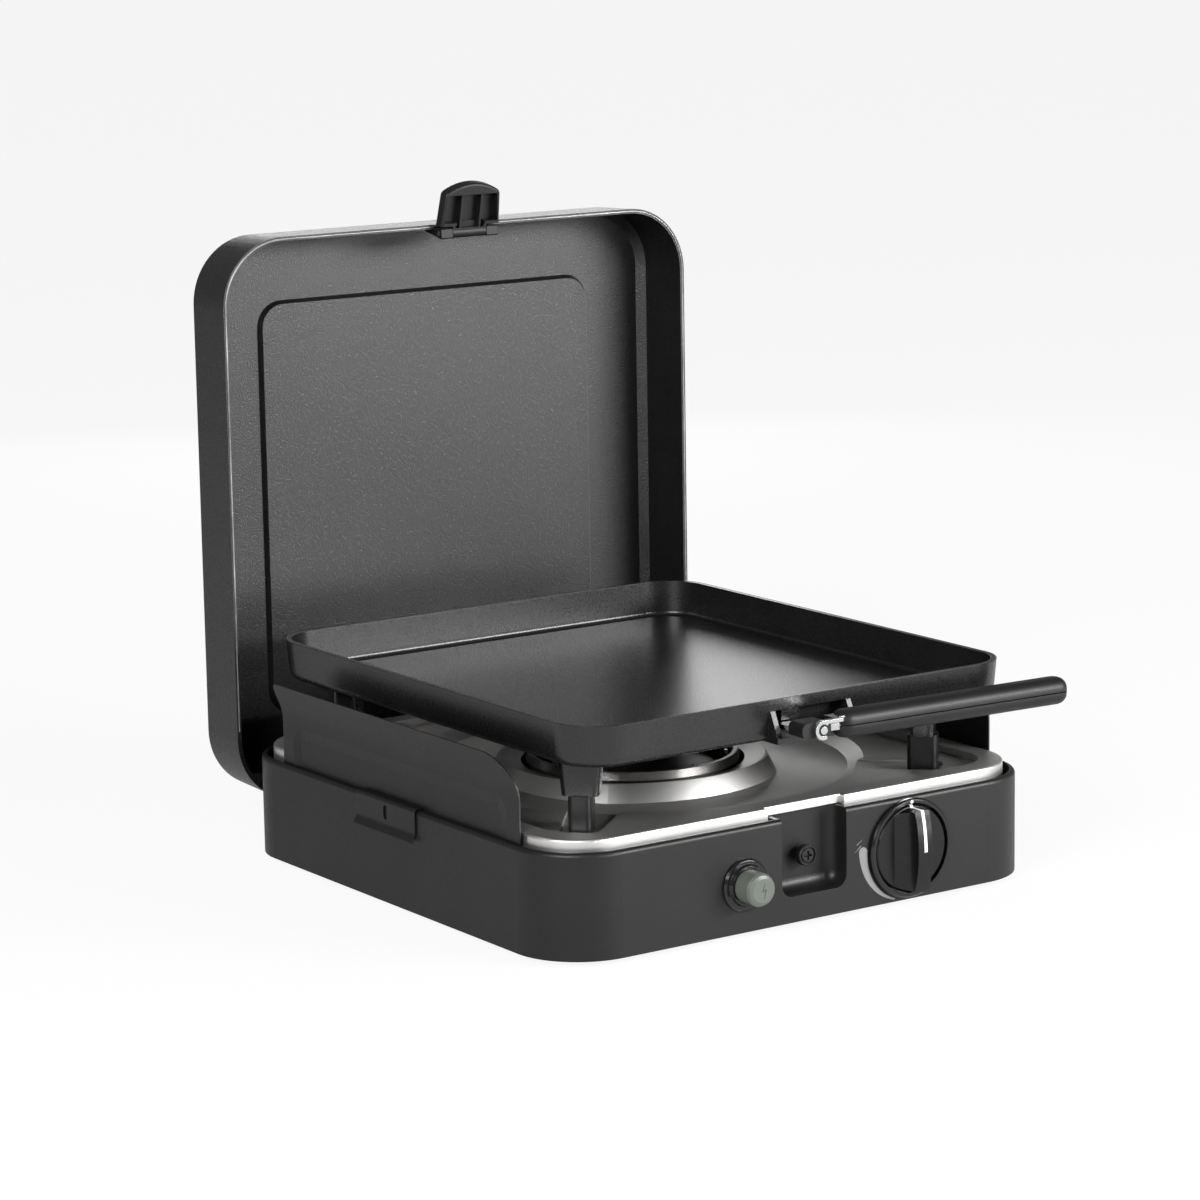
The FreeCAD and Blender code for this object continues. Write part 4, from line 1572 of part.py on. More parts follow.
# Latch on the lid's top wall, and the catch screw it closes over.
ear_x = ["(front_x - %s)" % half_bracket, "(front_x + barrel_wide / 2 + ear_gap)"]
plate_high = "(%s - bracket_deep * %s - strap_seat)" % (WALL_HIGH, DROP)
ear_front = "(%s - latch_barrel)" % LATCH_Y
ear_low = "(%s - latch_barrel)" % LATCH_Z
ear_line = [(ear_front, ear_low + " + bead_wide / 2"), (ear_front + " + bead_wide / 2", ear_low),
            (LID_RIM + " + bracket_deep", plate_high + " - bracket_thick"),
            (LID_RIM + " + bracket_deep", plate_high),
            (ear_front + " + bead_wide / 2", plate_high),
            (ear_front, plate_high + " - bead_wide / 2")]
ears = [prism("latch_ear", "YZ_Plane", ear_line, "ear_wide", x) for x in ear_x]
bracket_plate = block("bracket_plate", "front_x - " + half_bracket, "front_x + " + half_bracket,
                      LATCH_Y + " + latch_barrel + 2 * ear_gap", LID_RIM + " + bracket_deep",
                      plate_high + " - bracket_thick", plate_high)
part("latch_bracket", less("latch_bracket_cut", join("latch_bracket_join", bracket_plate, *ears),
                           rod("latch_pin_bore", "latch_pin", "latch_wide",
                               "front_x - latch_wide / 2", LATCH_Y, LATCH_Z, "x"),
                           *[rod("latch_rivet_bore", "rivet_shank", "6 * bracket_thick", x,
                                 latch_rivet_y, plate_high + " - 3 * bracket_thick")
                             for x in latch_rivet_x]))
part("latch_pin", rod("latch_pin_rod", "latch_pin", "2 * %s" % half_bracket,
                      "front_x - " + half_bracket, LATCH_Y, LATCH_Z, "x"))
part("latch_rivets", group("latch_rivet_group", *[
    join("latch_rivet",
         rod("latch_rivet_head", "rivet_radius + rivet_lap", "rivet_radius / 2", x, latch_rivet_y,
             plate_high + " - bracket_thick - rivet_radius / 2"),
         rod("latch_rivet_shank", "rivet_shank",
             "bracket_thick + lid_wall - shank_short + strap_seat", x, latch_rivet_y,
             plate_high + " - bracket_thick"))
    for x in latch_rivet_x]))

# The latch is made about its pivot, upright, and then set in place with its lean.
latch_top = "(latch_low + latch_tall)"
plain = prism("latch_plain", "XZ_Plane", [
    ("-latch_wide / 2", "latch_low"), ("latch_wide / 2", "latch_low"),
    ("latch_narrow / 2", latch_top), ("-latch_narrow / 2", latch_top)], "latch_deep",
    "latch_front", flip=True)
arched = shared("latch_arched", plain, rod("latch_arch_rod", "latch_arch", "4 * latch_deep", "0",
                                           "-2 * latch_deep", latch_top + " - latch_arch", "y"))
soft = rounded_edges("latch_soft", arched, "latch_round", lambda e: e.BoundBox.XLength < 1e-3
                     and e.BoundBox.YLength > 1 and e.BoundBox.ZMin > num("latch_tall / 2"))
edged = rounded_edges("latch_edged", soft, "latch_wall", lambda e: e.BoundBox.YLength < 1e-3
                      and e.BoundBox.ZMax > num("latch_tall / 2"))
hollow_top = "(%s - latch_cap)" % latch_top
half_barrel = "(barrel_wide / 2)"
hollow = prism("latch_hollow", "XZ_Plane", [
    ("-latch_wide / 2 + latch_wall", "latch_low + latch_wall"),
    ("latch_wide / 2 - latch_wall", "latch_low + latch_wall"),
    ("latch_narrow / 2 - latch_wall", hollow_top), ("-latch_narrow / 2 + latch_wall", hollow_top)],
    "2 * latch_deep - latch_wall", "latch_front + latch_deep", flip=True)
neck = block("latch_neck", "-" + half_barrel, half_barrel, "-latch_front + latch_wall / 2",
             "neck_back", "0", "latch_low + latch_wall / 2")
window = block("latch_window", "latch_wall - " + half_barrel, half_barrel + " - latch_wall",
               "-2 * latch_front", "neck_back - latch_wall", "latch_barrel",
               "latch_low + latch_wall + pin_fit")
ribs = []
for side in (-1, 1):
    ribs.append(block("latch_rib", "%d * rib_x - rib_half" % side,
                      "%d * rib_x + rib_half" % side, "latch_wall / 2 - latch_front",
                      "neck_back - latch_wall / 2", "latch_barrel / 2",
                      hollow_top + " + latch_wall / 2"))
barrel = rod("latch_barrel_rod", "latch_barrel", "barrel_wide", "-" + half_barrel, "0", "0", "x")
clasp = less("latch_cut", join("latch_join", less("latch_open", join("latch_whole", edged, neck),
                                                  hollow, window), barrel, *ribs),
             rod("latch_bore", "latch_pin + pin_fit", "2 * latch_wide", "-latch_wide", "0", "0", "x"))
part("latch", place(group("latch_set", clasp), "front_x", LATCH_Y, LATCH_Z,
                    Rotation(Vector(1, 0, 0), num("latch_lean"))))

catch = turned("catch_form", [
    ("0", "-catch_in"), ("screw_radius", "-catch_in"), ("screw_radius", "0"),
    ("catch_shank", "0"), ("catch_shank", "catch_out - catch_thick"),
    ("catch_head", "catch_out - catch_thick"), ("catch_head", "catch_out - bezel_wall / 2"),
    ("catch_head - bezel_wall / 2", "catch_out"), ("catch_head - bezel_wall", "catch_out"),
    ("catch_head - bezel_wall", "catch_out - bezel_wall"),
    ("catch_shank + bezel_wall / 2", "catch_out - bezel_wall"),
    ("catch_shank + bezel_wall / 2", "catch_out - bezel_wall / 2"),
    ("catch_shank", "catch_out"), ("0", "catch_out")])
cross_long = "(catch_shank - screw_radius / 2)"
cross = [block("cross_bar", "-cross_half", "cross_half", "-" + cross_long, cross_long,
               "catch_out - screw_radius", "catch_out + screw_radius"),
         block("cross_arm", "-" + cross_long, cross_long, "-cross_half", "cross_half",
               "catch_out - screw_radius", "catch_out + screw_radius")]
catch_whole = less("catch_cut", catch, *cross)
place(catch_whole, "front_x", RECESS_BACK, "catch_z", OUT)
part("catch_stud", catch_whole)

doc.recompute()
bad = [thing.Name for thing in doc.Objects if {"Invalid", "Error"} & set(thing.State)]
if bad:
    raise RuntimeError("objects in error: " + ", ".join(bad))
for name, thing in PARTS:
    if thing.Shape.isNull() or not thing.Shape.isValid() or not thing.Shape.Solids:
        raise RuntimeError(name + ": its shape is not sound")
for name, thing in PARTS:
    thing.Shape.exportStep("parts/%s.step" % name)
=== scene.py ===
"""Looks, light and camera for the single burner gas stove with its griddle and open lid.

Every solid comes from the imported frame, in metres. This script gives each one its
finish, adds the printed marks and small trim, and sets the studio round it.
"""
import json
import math

import bmesh
import bpy
import numpy as np
from mathutils import Matrix, Vector


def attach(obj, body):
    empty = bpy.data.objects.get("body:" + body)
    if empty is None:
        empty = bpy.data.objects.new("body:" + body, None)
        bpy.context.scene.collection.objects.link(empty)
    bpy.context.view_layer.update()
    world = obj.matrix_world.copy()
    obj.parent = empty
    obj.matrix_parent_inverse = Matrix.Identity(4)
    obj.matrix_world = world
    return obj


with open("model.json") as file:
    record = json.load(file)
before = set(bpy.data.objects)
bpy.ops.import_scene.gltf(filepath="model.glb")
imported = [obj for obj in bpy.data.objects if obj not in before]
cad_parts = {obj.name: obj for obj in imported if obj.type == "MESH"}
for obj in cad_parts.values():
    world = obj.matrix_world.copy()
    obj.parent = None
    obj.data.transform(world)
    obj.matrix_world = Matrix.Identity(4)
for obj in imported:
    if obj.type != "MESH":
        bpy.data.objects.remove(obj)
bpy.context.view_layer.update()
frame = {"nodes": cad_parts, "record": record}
MM = 0.001


def linear(code):
    """Turn an sRGB hex code such as 3a3b3d into linear red, green, blue and alpha."""
    parts = np.array([int(code[i:i + 2], 16) for i in (0, 2, 4)]) / 255
    parts = np.where(parts <= 0.04045, parts / 12.92, ((parts + 0.055) / 1.055) ** 2.4)
    return (*parts.tolist(), 1.0)


def add(tree, kind, values=None, links=None, **settings):
    """Add a node, set its properties and socket values, and link its inputs."""
    node = tree.nodes.new(kind)
    for name, value in settings.items():
        setattr(node, name, value)
    for name, value in (values or {}).items():
        node.inputs[name].default_value = value
    for name, source in (links or {}).items():
        tree.links.new(source, node.inputs[name])
    return node


# Finishes. Each starts from a blotchy colour, an uneven roughness and a fine bump, all
# read from Object coordinates at a size in millimetres. Noise stays mostly between LOW and
# HIGH, so its two ends are set there.
LOW, HIGH = 0.3, 0.7


def finish(name, colours, roughness, grain, depth, blotch=40.0, metallic=0.0, edge=0.35,
           stretch=(1.0, 1.0, 1.0), detail=2.0, **shader):
    """Build one finish: colours and roughness are the two ends that noise moves between.

    grain is the bump's size and depth its height, both in mm; stretch lengthens the grain
    along an axis; edge is the radius in mm that softens sharp corners for the light.
    """
    material = bpy.data.materials.new(name)
    material.use_nodes = True
    tree = material.node_tree
    surface = tree.nodes["Principled BSDF"]
    surface.inputs["Metallic"].default_value = metallic
    for socket, value in shader.items():
        surface.inputs[socket.replace("_", " ")].default_value = value
    place = add(tree, "ShaderNodeTexCoord")
    spread = add(tree, "ShaderNodeMapping", {"Scale": tuple(1 / s for s in stretch)},
                 {"Vector": place.outputs["Object"]})
    cloud = add(tree, "ShaderNodeTexNoise", {"Scale": 1 / (blotch * MM), "Detail": 3.0},
                {"Vector": place.outputs["Object"]})
    fine = add(tree, "ShaderNodeTexNoise", {"Scale": 1 / (grain * MM), "Detail": detail},
               {"Vector": spread.outputs["Vector"]})
    tint = add(tree, "ShaderNodeValToRGB", {}, {"Fac": cloud.outputs["Fac"]})
    for stop, at, code in zip(tint.color_ramp.elements, (LOW, HIGH), colours):
        stop.position = at
        stop.color = linear(code)
    tree.links.new(tint.outputs["Color"], surface.inputs["Base Color"])
    sheen = add(tree, "ShaderNodeMapRange",
                {"From Min": LOW, "From Max": HIGH,
                 "To Min": roughness[0], "To Max": roughness[1]},
                {"Value": fine.outputs["Fac"]})
    tree.links.new(sheen.outputs["Result"], surface.inputs["Roughness"])
    corner = add(tree, "ShaderNodeBevel", {"Radius": edge * MM}, samples=4)
    bump = add(tree, "ShaderNodeBump", {"Strength": 1.0, "Distance": depth * MM},
               {"Height": fine.outputs["Fac"], "Normal": corner.outputs["Normal"]})
    tree.links.new(bump.outputs["Normal"], surface.inputs["Normal"])
    return material


# Sockets of a colour Mix node: its share, the colour under it, the one over it, the result.
MIX_SHARE, MIX_UNDER, MIX_OVER, MIX_OUT = 0, 6, 7, 2


def printed(material, code, boxes=(), dots=()):
    """Print a colour over a finish wherever a point lies in one of the boxes or dots.

    A box is its middle and its half sizes, a dot its middle and its radius, in mm. A point
    is in a box where the largest of its three distances, each over its half size, is under 1.
    """
    tree = material.node_tree
    surface = tree.nodes["Principled BSDF"]
    place = add(tree, "ShaderNodeTexCoord").outputs["Object"]
    shares = []
    for middle, half in boxes:
        away = add(tree, "ShaderNodeVectorMath", {1: tuple(v * MM for v in middle)}, {0: place},
                   operation="SUBTRACT")
        away = add(tree, "ShaderNodeVectorMath", {}, {0: away.outputs[0]}, operation="ABSOLUTE")
        away = add(tree, "ShaderNodeVectorMath", {1: tuple(v * MM for v in half)},
                   {0: away.outputs[0]}, operation="DIVIDE")
        axes = add(tree, "ShaderNodeSeparateXYZ", {}, {0: away.outputs[0]})
        most = add(tree, "ShaderNodeMath", {}, {0: axes.outputs[0], 1: axes.outputs[1]},
                   operation="MAXIMUM")
        most = add(tree, "ShaderNodeMath", {}, {0: most.outputs[0], 1: axes.outputs[2]},
                   operation="MAXIMUM")
        shares.append(add(tree, "ShaderNodeMath", {1: 1.0}, {0: most.outputs[0]},
                          operation="LESS_THAN"))
    for middle, radius in dots:
        away = add(tree, "ShaderNodeVectorMath", {1: tuple(v * MM for v in middle)}, {0: place},
                   operation="DISTANCE")
        shares.append(add(tree, "ShaderNodeMath", {1: radius * MM}, {0: away.outputs["Value"]},
                          operation="LESS_THAN"))
    colour = surface.inputs["Base Color"].links[0].from_socket
    for share in shares:
        mixed = add(tree, "ShaderNodeMix", {MIX_OVER: linear(code)},
                    {MIX_SHARE: share.outputs[0], MIX_UNDER: colour}, data_type="RGBA")
        colour = mixed.outputs[MIX_OUT]
    tree.links.new(colour, surface.inputs["Base Color"])
    return material


# Powder coated steel of the base, windshields, rest posts and hinge straps: an even satin
# black whose faint orange peel spreads each reflection softly.
black_shell = finish("powder_coated_steel", ("101010", "151515"), (0.38, 0.48), 0.9, 0.02,
                     IOR=1.4)
# The lid's coat, laid on thicker, so that its peel sparkles where light grazes it. The
# peel is drawn 0.26 mm high, several times its real height, so that it shows.
lid_coat = finish("thick_powder_coated_steel", ("0e0e0e", "141414"), (0.24, 0.46), 0.85, 0.26)
# Moulded rubber of the feet: flat dark grey that gives back almost no light.
rubber = finish("moulded_rubber", ("151515", "1d1d1d"), (0.75, 0.9), 0.5, 0.03)
# Zinc plated steel of screws, rivets, pins and brackets: pale, slightly blue, softly shiny.
zinc = finish("zinc_plated_steel", ("a9abb0", "c2c3c6"), (0.28, 0.4), 0.6, 0.004, metallic=1.0)
# Rolled stainless sheet of the hob and crown: a warm pale grey with soft highlights. The
# rolled grain is drawn 0.35 by 5 mm, coarser than the real one, so that it shows.
stainless = finish("satin_rolled_stainless_sheet", ("d4d3d1", "dddcda"), (0.36, 0.46), 0.35,
                   0.0015, metallic=1.0, stretch=(14.0, 1.0, 1.0))
# Polished steel of the handle's bar and tongue and of the thermocouple: near mirror, so it
# shows both the lamps and the black coat round it.
bright = finish("polished_steel", ("b9b8b6", "c9c8c6"), (0.12, 0.2), 0.5, 0.002, metallic=1.0)
# The flame ring: the same steel, made darker, warmer and duller by heat.
heated = finish("heat_dulled_steel", ("8a8886", "a3a19e"), (0.26, 0.38), 0.6, 0.004,
                metallic=1.0)
# Cast aluminium of the burner bowl and mixing tube: dull grey with a grainy skin.
casting = finish("cast_aluminium", ("7d7d7b", "949492"), (0.5, 0.65), 0.7, 0.05,
                 metallic=1.0)
# Fired enamel on the burner cap: deep black with a soft, slightly wavy shine.
enamel = finish("fired_black_enamel", ("0f0f10", "171718"), (0.3, 0.42), 0.6, 0.02)
# Turned brass of the gas inlet, its nut, the jet and the valve's rotor: yellow metal,
# clean but not polished.
brass = finish("turned_brass", ("b9975a", "c9a868"), (0.25, 0.35), 0.3, 0.003, metallic=1.0)
# Die cast alloy of the gas valve: a plain mid grey metal, as it leaves the die.
die_cast = finish("die_cast_alloy", ("8f9092", "a2a3a5"), (0.45, 0.6), 0.6, 0.02, metallic=1.0)
# Gloss moulded nylon of the button's collar: black with small sharp highlights.
gloss_black = finish("gloss_moulded_nylon", ("0e0e0f", "121213"), (0.1, 0.16), 0.8, 0.003)
# The knob: the same nylon, a little blacker and less shiny, with its white pointer line.
POINTER_LINE = ((67.2, -176, 44.8), (1.0, 10, 12.4))
knob_black = printed(finish("gloss_moulded_knob_nylon", ("09090a", "0d0d0e"), (0.2, 0.28), 0.8,
                            0.003, IOR=1.42), "f0f0ee", boxes=[POINTER_LINE])
# The disc behind the knob: the same nylon, with the small white dot that marks off.
OFF_DOT = ((66.9, -171, 58.6), 1.0)
bezel_black = printed(finish("gloss_moulded_disc_nylon", ("0e0e0f", "121213"), (0.12, 0.2), 0.8,
                             0.003), "f2f2f0", dots=[OFF_DOT])
# Matt moulded nylon of the grips, handle head, latch, catch and piezo: black, with one
# broad sheen held in its fine grain.
matt_black = finish("matt_moulded_nylon", ("0d0d0d", "121212"), (0.42, 0.54), 0.5, 0.012,
                    IOR=1.4)
# Satin moulded nylon of the igniter button: grey green, softly lit on its rounded edge.
button_grey = finish("satin_moulded_grey_nylon", ("565c54", "5e645b"), (0.34, 0.42), 0.35,
                     0.006)
# Extruded silicone on the igniter's lead: a warm dull red.
red_sleeve = finish("extruded_silicone", ("8f1f1a", "a12a22"), (0.5, 0.6), 0.5, 0.01)
# Drawn copper of the thermocouple's lead: orange metal with a clean shine.
copper = finish("drawn_copper", ("b87452", "c98762"), (0.25, 0.35), 0.5, 0.004, metallic=1.0)
# Glazed ceramic of the electrode: off white with a wet shine.
ceramic = finish("glazed_ceramic", ("e6e2d8", "efece4"), (0.15, 0.22), 0.6, 0.004)
# Drawn aluminium of the gas pipe: pale grey metal, smooth but not bright.
pipe = finish("drawn_aluminium_tube", ("b2b2b2", "c2c2c2"), (0.3, 0.4), 0.5, 0.004,
              metallic=1.0)
# Sprayed nonstick coat of the griddle: near black and glossy enough to mirror the lid and
# the lamps. A speckle, drawn 0.9 mm wide and so coarser than the real one, breaks up what
# it mirrors.
nonstick = finish("sprayed_nonstick_coat", ("0f0f10", "151516"), (0.24, 0.36), 0.9, 0.018)
# Chrome plated steel of the handle's lever and pin: a clear mirror, the brightest metal here.
chrome = finish("chrome_plated_steel", ("c6c7c8", "d2d3d4"), (0.05, 0.1), 0.5, 0.001,
                metallic=1.0)

# Painted highlight on the lid's rolled edge: a broken pale line of steel, whose light colour
# stands in for the light that the rounded rim catches.
painted_lid_rim_highlight = finish("lid_rim_painted_highlight", ("6f6f70", "a8a8a9"), (0.25, 0.45), 0.8, 0.3,
                     metallic=1.0)
# Painted highlight on the griddle's rim: a dim grey line round the black tray, whose colour stands
# in for the light that the rounded upper edge catches.
painted_griddle_rim_highlight = finish("griddle_rim_painted_highlight", ("3a3a3b", "5c5c5d"), (0.3, 0.4), 0.8, 0.05,
                     metallic=1.0)
# Pad printed ink on the front: flat mid grey.
grey_ink = finish("grey_pad_print", ("727272", "7a7a7a"), (0.5, 0.6), 0.5, 0.004)
# Shade at the bottom of the button's moulded groove: the button's colour, much darker.
groove_shade = finish("shaded_moulded_groove", ("3b3f38", "454942"), (0.5, 0.6), 0.4, 0.004)

FINISHES = {
    "black_shell": black_shell, "rubber": rubber, "zinc_screw": zinc, "zinc_sheet": zinc,
    "stainless": stainless, "bright_steel": bright, "burner_metal": casting,
    "burner_dark": enamel, "brass": brass, "valve_alloy": die_cast, "gloss_black": gloss_black,
    "matte_black": matt_black, "button_grey": button_grey, "lead_sleeve": red_sleeve,
    "copper_lead": copper, "ceramic_steel": ceramic, "pipe_alloy": pipe,
    "nonstick": nonstick, "chrome": chrome,
}
# Pieces whose look differs from others of their slot.
OWN_FINISH = {"lid": lid_coat, "burner_ring": heated, "knob": knob_black,
              "knob_bezel": bezel_black}
slots = {entry["node"]: entry["material_slot"] for entry in frame["record"]["subparts"]}
for node, thing in frame["nodes"].items():
    material = OWN_FINISH.get(node, FINISHES[slots[node]])
    thing.data.materials.clear()
    thing.data.materials.append(material)


# Small trim that the solids leave out: rim wires in painted highlight, printed marks, and the
# button's flash in painted shade.

def band(path, normal, section, width, closed):
    """A section carried along a flat path, as points and faces.

    Point (i, j) = path[i] + across[i] * width[i] * section[j, 0] + normal * section[j, 1],
    where across is the path's direction turned square to it in its plane. All in mm.
    """
    path, section, normal = (np.array(v, float) for v in (path, section, normal))
    if closed:
        way = np.roll(path, -1, axis=0) - np.roll(path, 1, axis=0)
    else:
        way = np.gradient(path, axis=0)
    way /= np.linalg.norm(way, axis=1, keepdims=True)
    across = np.cross(way, normal) * np.asarray(width, float).reshape(-1, 1)
    points = (path[:, None] + across[:, None] * section[None, :, :1]
              + normal * section[None, :, 1:]).reshape(-1, 3)
    many, around = len(path), len(section)
    i, j = np.meshgrid(np.arange(many if closed else many - 1), np.arange(around), indexing="ij")
    along, turn = (i + 1) % many, (j + 1) % around
    quads = np.stack([i * around + j, i * around + turn, along * around + turn,
                      along * around + j], axis=-1).reshape(-1, 4).tolist()
    if not closed:
        last = (many - 1) * around
        quads += [list(range(around))[::-1], [last + k for k in range(around)]]
    return points, quads


def trim(name, body, slot, material, *bands):
    """Make one piece from several bands, face it outwards and let it ride on its body."""
    points, faces = [], []
    for some_points, some_faces in bands:
        start = sum(len(p) for p in points)
        points.append(some_points)
        faces += [[start + k for k in face] for face in some_faces]
    mesh = bpy.data.meshes.new(name)
    mesh.from_pydata((np.concatenate(points) * MM).tolist(), [], faces)
    shape = bmesh.new()
    shape.from_mesh(mesh)
    bmesh.ops.recalc_face_normals(shape, faces=shape.faces)
    shape.to_mesh(mesh)
    shape.free()
    mesh.materials.append(material)
    thing = bpy.data.objects.new(name, mesh)
    bpy.context.scene.collection.objects.link(thing)
    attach(thing, body)
    return thing


def wire(radius, sides=10):
    """A round section: radius times cosine and sine of equal turns."""
    turn = np.linspace(0, 2 * np.pi, sides, endpoint=False)
    return np.stack([np.cos(turn), np.sin(turn)], axis=1) * radius


def corner_arc(u, v, radius, start, end, steps=16):
    """Flat points of an arc: centre (u, v) plus radius times cosine and sine of the turn."""
    turn = np.radians(np.linspace(start, end, steps))
    return np.stack([u + radius * np.cos(turn), v + radius * np.sin(turn)], axis=1)


def upright(flat, y):
    """Stand flat (x, z) points up at a depth y."""
    flat = np.asarray(flat, float)
    return np.stack([flat[:, 0], np.full(len(flat), float(y)), flat[:, 1]], axis=1)


# The lid's rolled rim: a thin wire, pale as a painted highlight, from each side's foot round to
# the latch's bracket.
RIM_X, RIM_TOP, RIM_FOOT, RIM_ROUND, RIM_Y = 161.6, 356.1, 70.0, 38.6, 169.95
BRACKET_LEFT, BRACKET_RIGHT = -19.2, 22.2
RIM_WIRE, TRAY_WIRE = 0.5, 0.35
left_rim = np.concatenate([[[-RIM_X, RIM_FOOT]],
                           corner_arc(-RIM_X + RIM_ROUND, RIM_TOP - RIM_ROUND, RIM_ROUND, 180, 90),
                           [[BRACKET_LEFT, RIM_TOP]]])
right_rim = np.concatenate([[[BRACKET_RIGHT, RIM_TOP]],
                            corner_arc(RIM_X - RIM_ROUND, RIM_TOP - RIM_ROUND, RIM_ROUND, 90, 0),
                            [[RIM_X, RIM_FOOT]]])
trim("lid_rim_edge", "lid", "black_shell", painted_lid_rim_highlight,
     *[band(upright(side, RIM_Y), (0, 1, 0), wire(RIM_WIRE), np.ones(len(side)), False)
       for side in (left_rim, right_rim)])

# The griddle's rim: a thinner wire in painted highlight all the way round its upper outer edge.
TRAY_X, TRAY_Y, TRAY_MID, TRAY_ROUND, TRAY_Z = 146.6, 161.6, -3.5, 27.6, 127.25
tray_rim = np.concatenate([
    corner_arc(a * (TRAY_X - TRAY_ROUND), TRAY_MID + b * (TRAY_Y - TRAY_ROUND), TRAY_ROUND,
               start, start + 90)
    for a, b, start in ((1, 1, 0), (-1, 1, 90), (-1, -1, 180), (1, -1, 270))])
tray_path = np.column_stack([tray_rim, np.full(len(tray_rim), TRAY_Z)])
trim("griddle_rim_edge", "griddle", "nonstick", painted_griddle_rim_highlight,
     band(tray_path, (0, 0, 1), wire(TRAY_WIRE), np.ones(len(tray_path)), True))

# The flame scale beside the knob. At a share s of its run, from 0 to 1, its width is
# SCALE_WIDE - SCALE_FALL * s, its turn round the knob's axis SCALE_START + SCALE_RUN * s in
# degrees, and its inner edge keeps SCALE_IN from that axis. Over its first SCALE_ROUND mm,
# measured along its mean radius SCALE_MEAN, the width is rounded off as a circle's end is.
PRINT_Y, PRINT_THICK = -168.0, 0.06
KNOB_X, KNOB_Z, SCALE_IN = 67.0, 32.4, 29.1
SCALE_WIDE, SCALE_FALL, SCALE_ROUND = 6.2, 5.4, 3.1
SCALE_START, SCALE_RUN, SCALE_MEAN = 171.0, 79.5, 32.0
SCALE_POINTS, THINNEST, DEGREES_IN_A_RADIAN = 60, 0.01, 57.3
INK = [(-0.5, 0), (0.5, 0), (0.5, PRINT_THICK), (-0.5, PRINT_THICK)]
share = np.linspace(0, 1, SCALE_POINTS)
scale_wide = SCALE_WIDE - SCALE_FALL * share
scale_turn = np.radians(SCALE_START + SCALE_RUN * share)
scale_mid = SCALE_IN + scale_wide / 2
scale_path = np.stack([KNOB_X + scale_mid * np.cos(scale_turn),
                       KNOB_Z + scale_mid * np.sin(scale_turn)], axis=1)
from_start = share * SCALE_RUN / DEGREES_IN_A_RADIAN * SCALE_MEAN
left_over = np.clip(1 - from_start / SCALE_ROUND, 0, 1)
round_off = np.sqrt(np.clip(1 - left_over ** 2, THINNEST, 1))
trim("flame_scale", "base", "button_grey", grey_ink,
     band(upright(scale_path, PRINT_Y), (0, -1, 0), INK, scale_wide * round_off, False))

# Flash marks: four points joined by a stroke that is wide in its middle and thin at its ends.
STROKE = np.array([0.25, 0.9, 0.9, 0.25])
FRONT_SHARE = 0.8
FRONT_FLASH = [(34.6, 41.6), (30.5, 39.2), (33.6, 38.3), (29.1, 35.0)]
trim("flash_mark", "base", "button_grey", grey_ink,
     band(upright(FRONT_FLASH, PRINT_Y), (0, -1, 0), INK, STROKE * FRONT_SHARE, False))
# The flash moulded into the button: drawn in painted shade, as the dark bottom of its groove.
BUTTON_FACE_Y, BUTTON_MIDDLE = -184.5, (-45.7, 29.6)
BUTTON_FLASH = np.array([(1.4, 4.6), (-0.2, -0.5), (2.0, 0.5), (0.6, -4.6)]) + BUTTON_MIDDLE
trim("button_flash", "button", "button_grey", groove_shade,
     band(upright(BUTTON_FLASH, BUTTON_FACE_Y), (0, -1, 0), INK, STROKE, False))


# Camera: solved from the straight edges of the base, lid and griddle in the photograph.
# The lens is its length in the picture's pixels, over the picture's width, times the sensor's.
YAW, PITCH, ROLL = -34.5467, 10.8313, -0.9199
SENSOR, PICTURE_WIDE, LENS_PIXELS = 36, 1200, 3981.84
EYE = Vector((-1.2773, -1.8247, 0.5806))


def look(yaw, pitch, roll):
    """The camera's axes: right, up and back as columns, turned by yaw, pitch and roll."""
    a, e, r = (math.radians(v) for v in (yaw, pitch, roll))
    right = Vector((math.cos(a), math.sin(a), 0))
    back = Vector((math.sin(a) * math.cos(e), -math.cos(a) * math.cos(e), math.sin(e)))
    up = back.cross(right)
    side = right * math.cos(r) + up * math.sin(r)
    top = up * math.cos(r) - right * math.sin(r)
    return Matrix((side, top, back)).transposed().to_4x4()


camera_data = bpy.data.cameras.new("camera")
camera_data.lens = LENS_PIXELS / PICTURE_WIDE * SENSOR
camera_data.sensor_width = SENSOR
camera_data.clip_start = 0.05
camera = bpy.data.objects.new("camera", camera_data)
camera.matrix_world = Matrix.Translation(EYE) @ look(YAW, PITCH, ROLL)
bpy.context.scene.collection.objects.link(camera)
bpy.context.scene.camera = camera


# Studio: a pale floor and a surround that are white to the eye and dim to reflections, and
# four soft lamps.
FLOOR_TO_EYE, SURROUND_TO_EYE, TO_GLOSS, SURROUND_GLOW = 0.9, 1.0, 0.15, 0.1


def white_share(tree, to_eye, to_gloss):
    """How much plain white a ray meets: one share for the eye, one for mirror and glass."""
    path = add(tree, "ShaderNodeLightPath")
    gloss = add(tree, "ShaderNodeMath", {}, {0: path.outputs["Is Glossy Ray"],
                                             1: path.outputs["Is Transmission Ray"]},
                operation="MAXIMUM")
    gloss = add(tree, "ShaderNodeMath", {1: to_gloss}, {0: gloss.outputs[0]}, operation="MULTIPLY")
    eye = add(tree, "ShaderNodeMath", {1: to_eye}, {0: path.outputs["Is Camera Ray"]},
              operation="MULTIPLY")
    both = add(tree, "ShaderNodeMath", {}, {0: eye.outputs[0], 1: gloss.outputs[0]},
               operation="MAXIMUM")
    return both.outputs[0]


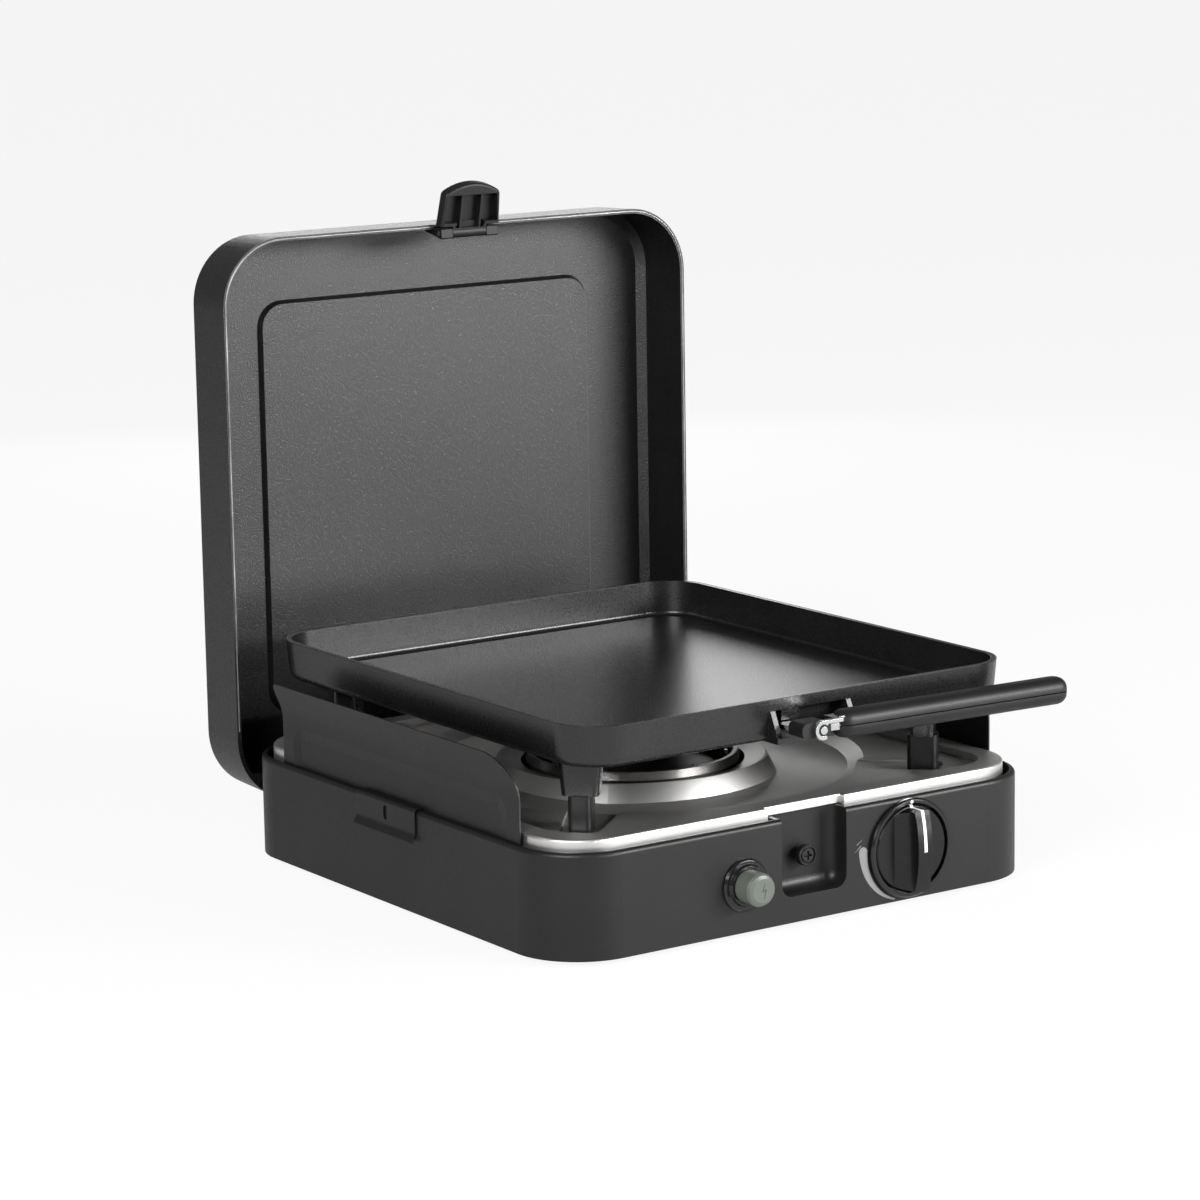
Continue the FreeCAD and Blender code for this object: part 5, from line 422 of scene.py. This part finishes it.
paper = bpy.data.materials.new("pale_paper")
paper.use_nodes = True
tree = paper.node_tree
tree.nodes.clear()
dull = add(tree, "ShaderNodeBsdfDiffuse", {"Color": linear("f2f2f2")})
glow = add(tree, "ShaderNodeEmission", {"Color": (1, 1, 1, 1), "Strength": 1.0})
mix = add(tree, "ShaderNodeMixShader", {},
          {0: white_share(tree, FLOOR_TO_EYE, TO_GLOSS), 1: dull.outputs[0],
           2: glow.outputs[0]})
add(tree, "ShaderNodeOutputMaterial", {}, {"Surface": mix.outputs[0]})

REACH = 30.0
floor_mesh = bpy.data.meshes.new("floor")
floor_mesh.from_pydata([(-REACH, -REACH, 0), (REACH, -REACH, 0), (REACH, REACH, 0),
                        (-REACH, REACH, 0)], [], [(0, 1, 2, 3)])
floor_mesh.materials.append(paper)
floor = bpy.data.objects.new("floor", floor_mesh)
bpy.context.scene.collection.objects.link(floor)

world = bpy.data.worlds.new("surround")
world.use_nodes = True
bpy.context.scene.world = world
tree = world.node_tree
tree.nodes.clear()
soft = add(tree, "ShaderNodeBackground", {"Color": (1, 1, 1, 1), "Strength": SURROUND_GLOW})
white = add(tree, "ShaderNodeBackground", {"Color": (1, 1, 1, 1), "Strength": 1.0})
mix = add(tree, "ShaderNodeMixShader", {},
          {0: white_share(tree, SURROUND_TO_EYE, TO_GLOSS), 1: soft.outputs[0],
           2: white.outputs[0]})
add(tree, "ShaderNodeOutputWorld", {}, {"Surface": mix.outputs[0]})


def lamp(name, place, aim, size, power):
    """A soft rectangular lamp at a place, facing a point."""
    data = bpy.data.lights.new(name, "AREA")
    data.shape = "RECTANGLE"
    data.size, data.size_y = size
    data.energy = power
    thing = bpy.data.objects.new(name, data)
    facing = (Vector(aim) - Vector(place)).to_track_quat("-Z", "Y")
    thing.matrix_world = Matrix.Translation(place) @ facing.to_matrix().to_4x4()
    bpy.context.scene.collection.objects.link(thing)


# Name, place and aim in metres, size in metres and power in watts.
LAMPS = [
    ("front_right", (1.42, -2.05, 0.92), (0, 0.1, 0.15), (1.4, 0.6), 90),
    ("front_low", (1.1, -1.7, 0.08), (0, 0.1, 0.16), (1.4, 0.14), 4),
    ("front_left", (-1.9, -1.2, 1.3), (0, 0, 0.1), (1.0, 1.0), 62),
    ("back_right", (0.8, 1.5, 0.5), (0, 0.1, 0.1), (0.8, 0.6), 4),
]
for name, place, aim, size, power in LAMPS:
    lamp(name, place, aim, size, power)

view = bpy.context.scene.view_settings
view.view_transform = "Standard"
